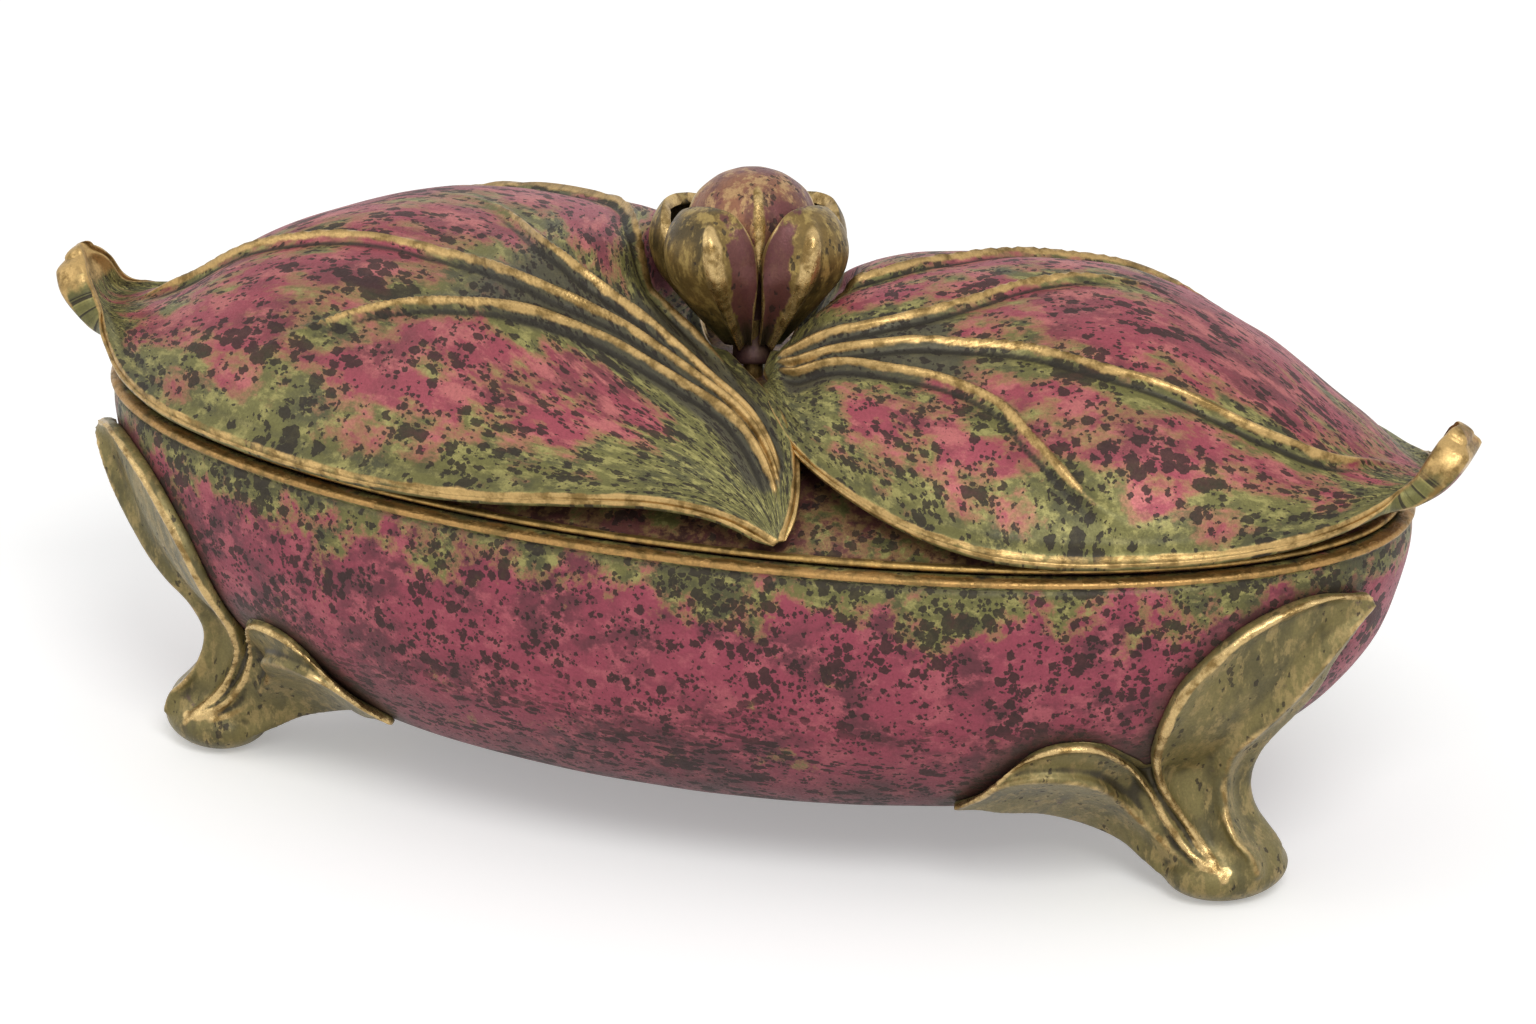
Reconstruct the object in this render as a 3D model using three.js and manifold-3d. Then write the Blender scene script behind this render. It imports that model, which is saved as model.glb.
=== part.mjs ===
// A jewelry casket: an oval bronze bowl on four leaf-blade feet, under a hinged lid that two
// large veined leaves cover, with a bud and its four sepals as the finger grip.
// Millimetres. X runs along the casket, Y to its rear where the hinge is, Z up from the table.

import * as THREE from "three";
import { mergeVertices } from "three/addons/utils/BufferGeometryUtils.js";
import Module from "manifold-3d";

// Clearances
const SEAT_GAP = 0.3; // between two pieces that rest on each other
const LAND_GAP = 0.3; // between the closed lid and the bowl's rim
const FLANGE_GAP = 0.6; // between the lid's locating flange and the bowl's wall
const SCREW_GAP = 0.3; // round a screw in its hole
const PIN_GAP = 0.25; // round the hinge pin in its knuckles

// The bowl
const BOWL_LENGTH = 220; // over the rim
const BOWL_WIDTH = 106.4; // over the rim
const RIM_HEIGHT = 60; // the land that the lid closes on
const FLOOR_HEIGHT = 12; // underside of the bowl's flat bottom
const BOWL_WALL = 2.6;
const BOWL_FLOOR = 5; // thick enough to hold the foot screws
const RIM_ROLL = 0.6; // the rubbed bead round the rim
const ROUND_STEPS = 60; // facets round the oval
const BOWL_SIDE = [
  // share of the height, how far the ends and the sides stand out from the rim's oval
  [0, -44, -16.5],
  [0.08, -28.5, -9.5],
  [0.21, -19.6, -4.2],
  [0.375, -10.8, 0.2],
  [0.54, -5, 2.1],
  [0.71, -1.9, 2.5],
  [0.875, 0, 1.7],
  [1, 0, 0],
];

// The lid plate under the leaves
const PLATE_INSET = 1.4; // the plate's edge behind the rim's oval
const PLATE_WALL = 2;
const PLATE_EDGE = 0.8; // thickness at the edge
const PLATE_RISE = 13.6; // height of its dome
const PLATE_STEPS = 48;
const FLANGE_WALL = 1.8;
const FLANGE_DEPTH = 3;

// The leaves: one row for each cross-line from the base to the curled tip, with the front
// margin, the rear margin and the crown between them. X and Y are shares of the rim's half
// length and half width, Z and the crown are heights in millimetres, Z above the rim.
const LEFT_LEAF = [
  [0.222, -0.98, 2.9, 0.222, -0.98, 2.9, 0],
  [0.132, -0.962, 6.3, 0.209, -0.808, 9.8, 2.5],
  [0.027, -0.968, 7.4, 0.159, -0.611, 15.8, 5],
  [-0.1, -0.977, 6.2, 0.045, -0.372, 18.6, 9.5],
  [-0.245, -0.97, 4.4, -0.07, -0.056, 18.4, 17],
  [-0.391, -0.927, 3.2, -0.082, 0.188, 19, 23],
  [-0.536, -0.85, 2.8, -0.136, 0.602, 13.5, 26],
  [-0.682, -0.737, 2.8, -0.418, 0.921, 3.5, 27.5],
  [-0.809, -0.598, 3, -0.691, 0.733, 2.8, 20.5],
  [-0.909, -0.423, 3.6, -0.868, 0.508, 3.2, 10.5],
  [-0.977, -0.244, 5, -0.968, 0.282, 5, 3.8],
  [-1.027, -0.122, 8.3, -1.027, 0.132, 8.3, -0.5],
  [-1.053, -0.088, 13, -1.053, 0.088, 13, -0.5],
  [-1.07, -0.03, 16.3, -1.07, 0.03, 16.3, 0],
];
const RIGHT_LEAF = [
  [0.103, -0.432, 18, 0.103, -0.432, 18, 0],
  [0.136, -0.573, 17.2, 0.087, -0.263, 19.5, 2.5],
  [0.195, -0.705, 13.8, 0.077, -0.056, 20, 6.5],
  [0.282, -0.799, 10.2, 0.077, 0.169, 20, 13.5],
  [0.391, -0.857, 6.6, 0.095, 0.414, 16.8, 19],
  [0.5, -0.861, 4.2, 0.145, 0.695, 11.5, 23.5],
  [0.6, -0.805, 3, 0.273, 0.959, 3.5, 28],
  [0.7, -0.72, 2.8, 0.482, 0.88, 2.8, 28.3],
  [0.809, -0.598, 3, 0.691, 0.733, 2.8, 21.3],
  [0.909, -0.423, 3.6, 0.868, 0.508, 3.2, 11],
  [0.977, -0.244, 5, 0.968, 0.282, 5, 4],
  [1.027, -0.122, 8.3, 1.027, 0.132, 8.3, -0.5],
  [1.053, -0.088, 13, 1.053, 0.088, 13, -0.5],
  [1.07, -0.03, 16.3, 1.07, 0.03, 16.3, 0],
];
// The veins of each leaf as [along, across] shares, from the front vein to the rear one
const LEFT_VEINS = [
  [
    [0.06, 0.7], [0.127, 0.67], [0.183, 0.63], [0.256, 0.52], [0.319, 0.41], [0.4, 0.3],
    [0.465, 0.235], [0.506, 0.165], [0.56, 0.06],
  ],
  [
    [0.07, 0.78], [0.179, 0.71], [0.252, 0.62], [0.308, 0.515], [0.36, 0.43], [0.442, 0.365],
    [0.533, 0.345], [0.62, 0.39], [0.7, 0.44], [0.8, 0.52],
  ],
  [
    [0.08, 0.83], [0.187, 0.755], [0.26, 0.695], [0.306, 0.616], [0.362, 0.531], [0.438, 0.485],
    [0.525, 0.54],
  ],
  [[0.22, 0.88], [0.45, 0.72], [0.6, 0.75], [0.7, 0.85]],
];
const RIGHT_VEINS = [
  [
    [0.11, 0.38], [0.171, 0.33], [0.283, 0.285], [0.36, 0.25], [0.41, 0.2], [0.446, 0.13],
    [0.494, 0.06], [0.54, 0.03],
  ],
  [
    [0.1, 0.47], [0.173, 0.39], [0.233, 0.35], [0.335, 0.341], [0.425, 0.306], [0.515, 0.253],
    [0.6, 0.24], [0.65, 0.245], [0.712, 0.3], [0.785, 0.5],
  ],
  [
    [0.1, 0.56], [0.2, 0.44], [0.258, 0.412], [0.306, 0.41], [0.36, 0.42], [0.413, 0.444],
    [0.462, 0.484], [0.51, 0.515], [0.56, 0.54],
  ],
  [[0.2, 0.68], [0.35, 0.62], [0.5, 0.7], [0.62, 0.8]],
];
const LEAF_WALL = 2.4;
const TIP_WALL = 4.6; // the curled tips are thick, rounded knobs
const TIP_START = 0.8; // share of the leaf where it begins to thicken
const TIP_FULL = 0.92;
const LEAF_STEPS = 28; // cross-lines in the finished leaf
const BEAD_RISE = 1; // the rolled margin
const BEAD_WIDTH = 2.6;
const VEIN_RISE = 1.1;
const VEIN_WIDTH = 2.6;
const LEAF_BOSS_RADIUS = 4;
const LEFT_BOSSES = [[-0.36, -0.2], [-0.68, 0.05]]; // as shares of the rim's half sizes
const RIGHT_BOSSES = [[0.36, -0.1], [0.68, 0.05]];

// The bud
const BUD_FOOT = [4.4, -10.5]; // where its stem stands on the plate
const STEM_RADIUS = 3.2;
const STEM_HEIGHT = 5;
const BUD_HEIGHT = 32.6; // from the plate to the top, along its own leaning axis
const BUD_LEAN = 16; // degrees, backwards
const BUD_TURN = 6; // degrees, towards the left end
const BUD_RADIUS = 10.3;
const SEPAL_RADIUS = 17.4;
const SEPAL_OPENING = 2.4; // how much further the rear pair stands open than the front pair
const SEPAL_WALL = 2;
const SEPAL_HEIGHT = 26.8; // tip above the bud's foot
const SEPAL_START = 4; // base above the bud's foot
const SEPAL_KEEL = 0.9;
const SEPAL_KEEL_AT = 0.42; // share of the way from its middle to the margin beside its partner
const SEPAL_CUP = 0.3; // how much nearer the bud its side margins lie, as a share
const SEPAL_ARCH = 0.4; // share of its length where its sides begin to arch together
const SEPAL_SPREAD = 43; // half angle of one sepal, degrees
const SEPAL_TURN = -20; // the front sepal from straight ahead, degrees
const NEST_GAP = 0.8; // between the sepals' keels and the beads in the leaves' hollow under them
const NEST_BLEND = 1.5; // how softly the leaves turn into that hollow

// The feet
const FOOT_TURNS = { front: 23, rear: 50 }; // degrees from the casket's end, round its oval
const PAD_LENGTH = 22.2; // along the rim
const PAD_WIDTH = 17;
const PAD_HEIGHT = 9.8;
const PAD_CENTRE = 4.3; // above the table
const PAD_INSET = 1.1; // the pad's centre inside the bowl's side over it
const PAD_BACK = 1.6; // and towards the casket's end
const ANKLE_INSET = 3; // the ankle inside the pad's centre
const ANKLE_RADIUS = 4.6;
const ANKLE_HEIGHT = 25;
const BLADE_STAND = 2.2; // how far a blade stands out of the bowl's side
// Each blade's rows on the bowl's side, from its tip: the distance round the rim from the foot,
// the height, the stand-off, the half width and the half thickness
const UPPER_BLADE = [
  [-9.7, 53, 1.2, 1, 1.2],
  [-4.4, 50.5, 1.8, 5.5, 2.4],
  [2.3, 45, 2, 9.5, 3],
  [5.9, 38, 2.2, 11.5, 3.4],
  [7.1, 31, 2, 10.6, 3.5],
  [5, 24.5, 1.6, 8.4, 3.6],
];
const LOWER_BLADE = [
  [41.6, 15.5, 1.2, 1, 1.2],
  [36.8, 19.5, 1.8, 3.8, 2.4],
  [32.1, 23.5, 2, 6, 3],
  [23.9, 24.5, 2.2, 7, 3.2],
  [16.9, 20.5, 2.6, 6.6, 3.4],
];
// Its rows down to the pad: the distance on round the rim and out from the pad's centre, then
// the same three sizes
const UPPER_ROOT = [
  [2, -2.5, 17, 7.2, 5],
  [0.5, -1, 10, 7.6, 5.6],
  [0, 0.5, 4.5, 9.5, 6.5],
];
const LOWER_ROOT = [
  [8.5, -2, 13, 5.8, 4],
  [5, 1, 7.5, 6.5, 4.8],
  [3, 1.5, 4.2, 7, 5],
];
const TURN_HIGH = 30; // above this height a blade faces out square to the bowl's side
const TURN_LOW = 12; // and below this one it faces straight out from the foot
const LUG_WIDTH = 11;
const LUG_THICKNESS = 3.4;
const LUG_REACH = 28; // from the pad's centre to the screw up into the bowl's floor

// Screws and the finial's stud
const FOOT_SCREW_RADIUS = 1.6;
const FOOT_SCREW_BITE = 3.4; // in the bowl's floor
const LEAF_SCREW_RADIUS = 1.5;
const LEAF_SCREW_BITE = 7; // in the leaf's boss
const HINGE_SCREW_RADIUS = 1;
const HEAD_HEIGHT = 1.4;
const HEAD_SPREAD = 1.3; // the head's radius over the shank's
const STUD_RADIUS = 1.6;
const STUD_BITE = 9; // in the bud
const NUT_RADIUS = 3.6;
const NUT_HEIGHT = 2.6;
const STUD_TAIL = 1; // past the nut

// The hinge
const HINGE_LENGTH = 28;
const KNUCKLE_RADIUS = 2.2;
const PIN_RADIUS = 1.1;
const PIN_HEAD = 0.7; // thickness of each end's dome
const HINGE_HEIGHT = 10; // of the bracket under the pin
const HINGE_STAND = 3.8; // the pin's axis behind the rim's oval
const HINGE_RISE = 1.3; // the pin's axis above the rim
const BRACKET_LIP = 0.8; // the bracket's outer face behind the pin's axis
const STRAP_REACH = 10; // of the lid's strap over the plate
const STRAP_WALL = 1.6;
const HINGE_SCREW_INSET = 5; // each screw from the hinge's end

// The velvet linings
const LINING_WALL = 1.6;
const LINING_GAP = 0.45; // behind the velvet, for its glue
const LINING_TOP = 3.4; // below the rim
const LINING_STEPS = 36;
const CUSHION_STEPS = 36;
const PAD_CROWN = 3.2;
const PAD_EDGE = 3.6; // height of the floor cushion's edge
const LID_PAD_DROP = 4.4; // the lid cushion below the plate's underside
const LID_PAD_THICK = 3; // at its edge
const LID_PAD_CROWN = 6; // how much thicker it is in its middle

const HALF_LENGTH = BOWL_LENGTH / 2;
const HALF_WIDTH = BOWL_WIDTH / 2;
const HINGE_SCREW_X = HINGE_LENGTH / 2 - HINGE_SCREW_INSET;
const DEG = Math.PI / 180;
const PIN_Y = HALF_WIDTH + HINGE_STAND;
const BRACKET_FACE = PIN_Y + BRACKET_LIP;
const PIN_Z = RIM_HEIGHT + HINGE_RISE;
const PLATE_TOP = RIM_HEIGHT + LAND_GAP + PLATE_EDGE; // top of the plate's edge

const BRONZE = { color: 0x8a4f55, roughness: 0.45, metalness: 0.8 };
const OLIVE_BRONZE = { color: 0x7d7546, roughness: 0.45, metalness: 0.85 };
const BRASS = { color: 0xb09048, roughness: 0.4, metalness: 0.95 };
const VELVET = { color: 0x5b1f2c, roughness: 0.95, metalness: 0 };

const wasm = await Module();
wasm.setup();

// Helpers for closed meshes

function volumeOf(points, index) {
  let volume = 0;
  for (let i = 0; i < index.length; i += 3) {
    const [a, b, c] = [points[index[i]], points[index[i + 1]], points[index[i + 2]]];
    volume += a.dot(b.clone().cross(c)) / 6;
  }
  return volume;
}

// A closed solid through a row of closed loops with equal numbers of points. A fan closes each end.
function loftLoops(loops) {
  const count = loops[0].length;
  const points = loops.flat();
  const index = [];
  for (let k = 0; k + 1 < loops.length; k++)
    for (let i = 0; i < count; i++) {
      const j = (i + 1) % count;
      const [a, b, c, d] = [k * count + i, k * count + j, (k + 1) * count + j, (k + 1) * count + i];
      index.push(a, b, c, a, c, d);
    }
  const ends = [loops[0], loops[loops.length - 1]];
  ends.forEach((loop, end) => {
    const middle = new THREE.Vector3();
    loop.forEach((p) => middle.addScaledVector(p, 1 / count));
    const hub = points.push(middle) - 1;
    const first = end * (loops.length - 1) * count;
    for (let i = 0; i < count; i++) {
      const j = (i + 1) % count;
      if (end) index.push(first + i, first + j, hub);
      else index.push(first + j, first + i, hub);
    }
  });
  if (volumeOf(points, index) < 0)
    for (let i = 0; i < index.length; i += 3) [index[i], index[i + 1]] = [index[i + 1], index[i]];
  return new THREE.BufferGeometry().setFromPoints(points).setIndex(index);
}

function solidOf(geometry) {
  const bare = geometry.clone();
  bare.deleteAttribute("normal");
  bare.deleteAttribute("uv");
  const merged = mergeVertices(bare, 1e-4);
  return new wasm.Manifold(
    new wasm.Mesh({
      numProp: 3,
      vertProperties: merged.getAttribute("position").array,
      triVerts: new Uint32Array(merged.index.array),
    }),
  );
}

function geometryOf(solid) {
  const mesh = solid.getMesh();
  const geometry = new THREE.BufferGeometry();
  geometry.setAttribute("position", new THREE.BufferAttribute(mesh.vertProperties, 3));
  geometry.setIndex(new THREE.BufferAttribute(mesh.triVerts, 1));
  return geometry;
}

// A round bar between two points
function bar(from, to, radius, sides = 16) {
  const axis = to.clone().sub(from);
  const geometry = new THREE.CylinderGeometry(radius, radius, axis.length(), sides);
  geometry.applyQuaternion(
    new THREE.Quaternion().setFromUnitVectors(new THREE.Vector3(0, 1, 0), axis.clone().normalize()),
  );
  const middle = from.clone().add(to).multiplyScalar(0.5);
  return geometry.translate(middle.x, middle.y, middle.z);
}

// A block between two corners
function block(low, high) {
  const size = high.clone().sub(low);
  const middle = high.clone().add(low).multiplyScalar(0.5);
  return new THREE.BoxGeometry(size.x, size.y, size.z).translate(middle.x, middle.y, middle.z);
}

const at = (x, y, z) => new THREE.Vector3(x, y, z);

function oval(halfLength, halfWidth, z, steps = ROUND_STEPS) {
  const loop = [];
  for (let i = 0; i < steps; i++) {
    const angle = (2 * Math.PI * i) / steps;
    loop.push(at(halfLength * Math.cos(angle), halfWidth * Math.sin(angle), z));
  }
  return loop;
}

// A smooth curve through rows of up to three numbers, read at a share of its rows
function curveOf(rows) {
  return new THREE.CatmullRomCurve3(
    rows.map((row) => at(...row)),
    false,
    "catmullrom",
    0.5,
  );
}

// The bowl

const sideCurve = curveOf(BOWL_SIDE.map(([share, ends, sides]) => [ends, sides, share]));

// Half length and half width of the bowl's outside at a height
function bowlAt(z) {
  const share = THREE.MathUtils.clamp((z - FLOOR_HEIGHT) / (RIM_HEIGHT - FLOOR_HEIGHT), 0, 1);
  let [low, high] = [0, 1];
  for (let i = 0; i < 24; i++) {
    const middle = (low + high) / 2;
    if (sideCurve.getPoint(middle).z < share) low = middle;
    else high = middle;
  }
  const { x, y } = sideCurve.getPoint(low);
  return { length: HALF_LENGTH + x, width: HALF_WIDTH + y };
}

// The same for its inside, a wall's thickness in, measured square to the slope
function insideAt(z, wall = BOWL_WALL) {
  const step = 1;
  const here = bowlAt(z);
  const below = bowlAt(Math.max(z - step, FLOOR_HEIGHT));
  const drop = Math.min(z - FLOOR_HEIGHT, step);
  const slant = (change) => wall * Math.hypot(1, change / drop);
  return {
    length: here.length - slant(here.length - below.length),
    width: here.width - slant(here.width - below.width),
  };
}

const INNER_FLOOR = FLOOR_HEIGHT + BOWL_FLOOR;
const OUTER_SHARES = [0, 0.05, 0.13, 0.26, 0.42, 0.62, 0.82];
const LINING_SHARE = 1 - LINING_TOP / (RIM_HEIGHT - INNER_FLOOR);
const INNER_SHARES = [LINING_SHARE, 0.75, 0.5, 0.28, 0.1, 0];
const INNER_RIM = insideAt(RIM_HEIGHT);

// The bowl's outside as a full solid, let out by a clearance, for cutting what seats on it
function bowlBlock(grow) {
  const loops = [];
  for (const share of [...OUTER_SHARES, 1]) {
    const z = FLOOR_HEIGHT + share * (RIM_HEIGHT - FLOOR_HEIGHT);
    const { length, width } = bowlAt(z);
    loops.push(oval(length + grow, width + grow, share ? z : z - grow));
  }
  return solidOf(loftLoops(loops));
}

function bowlShell() {
  const loops = [];
  for (const share of OUTER_SHARES) {
    const z = FLOOR_HEIGHT + share * (RIM_HEIGHT - FLOOR_HEIGHT);
    const { length, width } = bowlAt(z);
    loops.push(oval(length, width, z));
  }
  const edge = (grow, z) => oval(HALF_LENGTH + grow, HALF_WIDTH + grow, z);
  loops.push(edge(0, RIM_HEIGHT - 3 * RIM_ROLL));
  loops.push(edge(RIM_ROLL, RIM_HEIGHT - 2 * RIM_ROLL));
  loops.push(edge(0, RIM_HEIGHT - RIM_ROLL));
  loops.push(edge(-RIM_ROLL, RIM_HEIGHT));
  loops.push(oval(INNER_RIM.length, INNER_RIM.width, RIM_HEIGHT));
  for (const share of INNER_SHARES) {
    const z = INNER_FLOOR + share * (RIM_HEIGHT - INNER_FLOOR);
    const { length, width } = insideAt(z);
    loops.push(oval(length, width, z));
  }
  return loftLoops(loops);
}

// Where the hinge's two bracket screws enter the rear wall
const bracketScrewPlaces = [-1, 1].map((side) =>
  at(side * HINGE_SCREW_X, BRACKET_FACE, PIN_Z - HINGE_HEIGHT * 0.68),
);

// The four corners where the feet stand, as signs of X and Y
const CORNERS = [
  ["front_left", -1, -1],
  ["front_right", 1, -1],
  ["rear_left", -1, 1],
  ["rear_right", 1, 1],
];

// Places round one foot, drawn at a right front corner: the way out from the bowl, the way on
// round its rim, its pad's middle, and the eye of its lug
function footFrame(turn) {
  const angle = turn * DEG;
  const out = at(HALF_WIDTH * Math.cos(angle), -HALF_LENGTH * Math.sin(angle), 0).normalize();
  const on = at(out.y, -out.x, 0);
  const { length, width } = bowlAt(ANKLE_HEIGHT);
  const pad = at(length * Math.cos(angle), -width * Math.sin(angle), 0)
    .addScaledVector(out, -PAD_INSET)
    .addScaledVector(on, -PAD_BACK);
  const eye = pad.clone().multiplyScalar(1 - LUG_REACH / pad.length());
  return { turn, out, on, pad, eye };
}

const footFrames = { front: footFrame(FOOT_TURNS.front), rear: footFrame(FOOT_TURNS.rear) };
const frameOf = (corner) => footFrames[corner.split("_")[0]];

function bowlBody() {
  let solid = solidOf(bowlShell());
  for (const [corner, sx, sy] of CORNERS) {
    const { eye } = frameOf(corner);
    const from = at(sx * eye.x, -sy * eye.y, FLOOR_HEIGHT - 1);
    const to = at(from.x, from.y, FLOOR_HEIGHT + FOOT_SCREW_BITE + SCREW_GAP);
    solid = solid.subtract(solidOf(bar(from, to, FOOT_SCREW_RADIUS + SCREW_GAP, 12)));
  }
  for (const place of bracketScrewPlaces) {
    const through = at(place.x, HALF_WIDTH - 2 * BOWL_WALL, place.z);
    solid = solid.subtract(solidOf(bar(place, through, HINGE_SCREW_RADIUS + SCREW_GAP, 12)));
  }
  return geometryOf(solid);
}

// A foot, drawn at the right front corner and mirrored to the others

// The way out of the bowl's side, square to an egg of about its shape
function outOfSide(p) {
  const depth = RIM_HEIGHT - FLOOR_HEIGHT;
  return at(
    p.x / HALF_LENGTH ** 2,
    p.y / HALF_WIDTH ** 2,
    Math.min(p.z - RIM_HEIGHT, 0) / depth ** 2,
  ).normalize();
}

// One blade: a strip with two raised edges and a hollow face, lofted along its path.
// Each row is X, Y, Z, half width and half thickness. It faces out at its foot.
function blade(rows, outAtFoot) {
  const path = curveOf(rows.map((row) => row.slice(0, 3)));
  const sizes = curveOf(rows.map((row) => [row[3], row[4], 0]));
  const face = [
    [-1, 0], [-0.85, 0.95], [-0.45, 0.55], [0.1, 0.4], [0.55, 0.65], [0.85, 0.95], [1, 0],
    [0.6, -1], [-0.6, -1],
  ];
  const steps = 8;
  const loops = [];
  for (let i = 0; i <= steps; i++) {
    const share = i / steps;
    const centre = path.getPoint(share);
    const along = path.getTangent(share);
    const { x: halfWidth, y: halfThickness } = sizes.getPoint(share);
    const low = 1 - THREE.MathUtils.smoothstep(centre.z, TURN_LOW, TURN_HIGH);
    const out = outOfSide(centre).lerp(outAtFoot, low);
    out.addScaledVector(along, -out.dot(along)).normalize();
    const across = along.clone().cross(out);
    loops.push(
      face.map(([s, n]) =>
        centre.clone().addScaledVector(across, s * halfWidth).addScaledVector(out, n * halfThickness),
      ),
    );
  }
  return solidOf(loftLoops(loops));
}

// The oval's angle a distance further round the rim, in radians
function angleOn(turn, distance) {
  let angle = turn * DEG;
  const steps = 12;
  for (let i = 0; i < steps; i++)
    angle += distance / steps / Math.hypot(HALF_LENGTH * Math.sin(angle), HALF_WIDTH * Math.cos(angle));
  return angle;
}

// One foot, drawn at a right front corner: two blades that follow the bowl's side, its pad, and
// a lug to the screw under the bowl's floor
function foot({ turn, out, on, pad, eye }) {
  const onSide = ([distance, z, stand, halfWidth, halfThickness]) => {
    const angle = angleOn(turn, distance);
    const { length, width } = bowlAt(z);
    const p = at(length * Math.cos(angle), -width * Math.sin(angle), z);
    p.addScaledVector(outOfSide(p), stand - BLADE_STAND);
    return [p.x, p.y, p.z, halfWidth, halfThickness];
  };
  const below = ([along, away, z, halfWidth, halfThickness]) => {
    const p = pad.clone().addScaledVector(on, along).addScaledVector(out, away);
    return [p.x, p.y, z, halfWidth, halfThickness];
  };
  const upper = blade([...UPPER_BLADE.map(onSide), ...UPPER_ROOT.map(below)], out);
  const lower = blade([...LOWER_BLADE.map(onSide), ...LOWER_ROOT.map(below)], out);
  const turned = Math.atan2(on.y, on.x);
  const sole = new THREE.SphereGeometry(1, 14, 7).rotateX(Math.PI / 2);
  sole.scale(PAD_LENGTH / 2, PAD_WIDTH / 2, PAD_HEIGHT / 2).rotateZ(turned);
  sole.translate(pad.x, pad.y, PAD_CENTRE);
  const lugTop = FLOOR_HEIGHT - SEAT_GAP;
  const lugLine = eye.clone().sub(pad);
  const lug = block(
    at(0, -LUG_WIDTH / 2, lugTop - LUG_THICKNESS),
    at(lugLine.length(), LUG_WIDTH / 2, lugTop),
  );
  lug.rotateZ(Math.atan2(lugLine.y, lugLine.x)).translate(pad.x, pad.y, 0);
  const over = (p, z) => at(p.x, p.y, z);
  const lugEye = bar(over(eye, lugTop - LUG_THICKNESS), over(eye, lugTop), LUG_WIDTH / 2, 12);
  const ankle = pad.clone().addScaledVector(out, -ANKLE_INSET);
  const column = bar(over(ankle, PAD_CENTRE), over(ankle, ANKLE_HEIGHT + 2), ANKLE_RADIUS, 12);
  const hole = bar(over(eye, 0), over(eye, RIM_HEIGHT), FOOT_SCREW_RADIUS + SCREW_GAP, 12);
  const underTable = block(at(0, -HALF_WIDTH * 2, -30), at(HALF_LENGTH * 2, HALF_WIDTH, 0));
  const solid = upper
    .add(lower)
    .add(solidOf(sole))
    .add(solidOf(lug))
    .add(solidOf(lugEye))
    .add(solidOf(column))
    .subtract(bowlBlock(SEAT_GAP))
    .subtract(solidOf(hole))
    .subtract(solidOf(underTable));
  return geometryOf(solid);
}

// A screw with a domed head: its head's seat is at the origin and its shank runs to +Z
function screw(radius, length) {
  const head = radius + HEAD_SPREAD;
  const profile = [
    [0, -HEAD_HEIGHT], [head * 0.7, -HEAD_HEIGHT * 0.75], [head, 0],
    [radius, 0], [radius, length], [0, length],
  ];
  return new THREE.LatheGeometry(
    profile.map(([r, z]) => new THREE.Vector2(r, z)),
    10,
  ).rotateX(Math.PI / 2);
}

// The lid plate

// Height of the plate's top over a point, and its underside's
function plateTop(x, y) {
  const t2 = (x / (HALF_LENGTH - PLATE_INSET)) ** 2 + (y / (HALF_WIDTH - PLATE_INSET)) ** 2;
  return PLATE_TOP + PLATE_RISE * Math.max(0, 1 - t2);
}

function plateRing(share, rise) {
  return oval(
    (HALF_LENGTH - PLATE_INSET) * share,
    (HALF_WIDTH - PLATE_INSET) * share,
    PLATE_TOP + PLATE_RISE * (1 - share * share) + rise,
    PLATE_STEPS,
  );
}

const PLATE_SHARES = [0.97, 0.86, 0.7, 0.5, 0.27];

function plateShell() {
  const ring = (length, width, z) => oval(length, width, z, PLATE_STEPS);
  const loops = [];
  const underShares = [...PLATE_SHARES].reverse().filter((share) => share < 0.92);
  for (const share of underShares) loops.push(plateRing(share, -PLATE_WALL));
  const flangeIn = FLANGE_GAP + FLANGE_WALL;
  const land = RIM_HEIGHT + LAND_GAP;
  loops.push(ring(INNER_RIM.length - flangeIn, INNER_RIM.width - flangeIn, land + 0.2));
  loops.push(ring(INNER_RIM.length - flangeIn, INNER_RIM.width - flangeIn, RIM_HEIGHT - FLANGE_DEPTH));
  loops.push(ring(INNER_RIM.length - FLANGE_GAP, INNER_RIM.width - FLANGE_GAP, RIM_HEIGHT - FLANGE_DEPTH));
  loops.push(ring(INNER_RIM.length - FLANGE_GAP, INNER_RIM.width - FLANGE_GAP, land));
  loops.push(ring(HALF_LENGTH - PLATE_INSET, HALF_WIDTH - PLATE_INSET, land));
  loops.push(plateRing(1, -PLATE_EDGE / 3));
  for (const share of PLATE_SHARES) loops.push(plateRing(share, share > 0.95 ? -0.3 : 0));
  return loftLoops(loops);
}

// The plate's outside as a full solid, let out by a clearance
function plateBlock(grow) {
  const loops = [oval(HALF_LENGTH - PLATE_INSET, HALF_WIDTH - PLATE_INSET, RIM_HEIGHT, PLATE_STEPS)];
  loops.push(plateRing(1, grow));
  for (const share of PLATE_SHARES) loops.push(plateRing(share, grow));
  return solidOf(loftLoops(loops));
}

const bossPlaces = {
  left: LEFT_BOSSES.map(([x, y]) => [x * HALF_LENGTH, y * HALF_WIDTH]),
  right: RIGHT_BOSSES.map(([x, y]) => [x * HALF_LENGTH, y * HALF_WIDTH]),
};
const SCREW_PAD_DEPTH = 0.6; // flat pads under the plate for the screw heads and the nut
const padFace = ([x, y]) => plateTop(x, y) - PLATE_WALL - SCREW_PAD_DEPTH;
const STUD_SEAT = plateTop(...BUD_FOOT) + 0.4; // flat spot on the dome under the bud's stem

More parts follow.
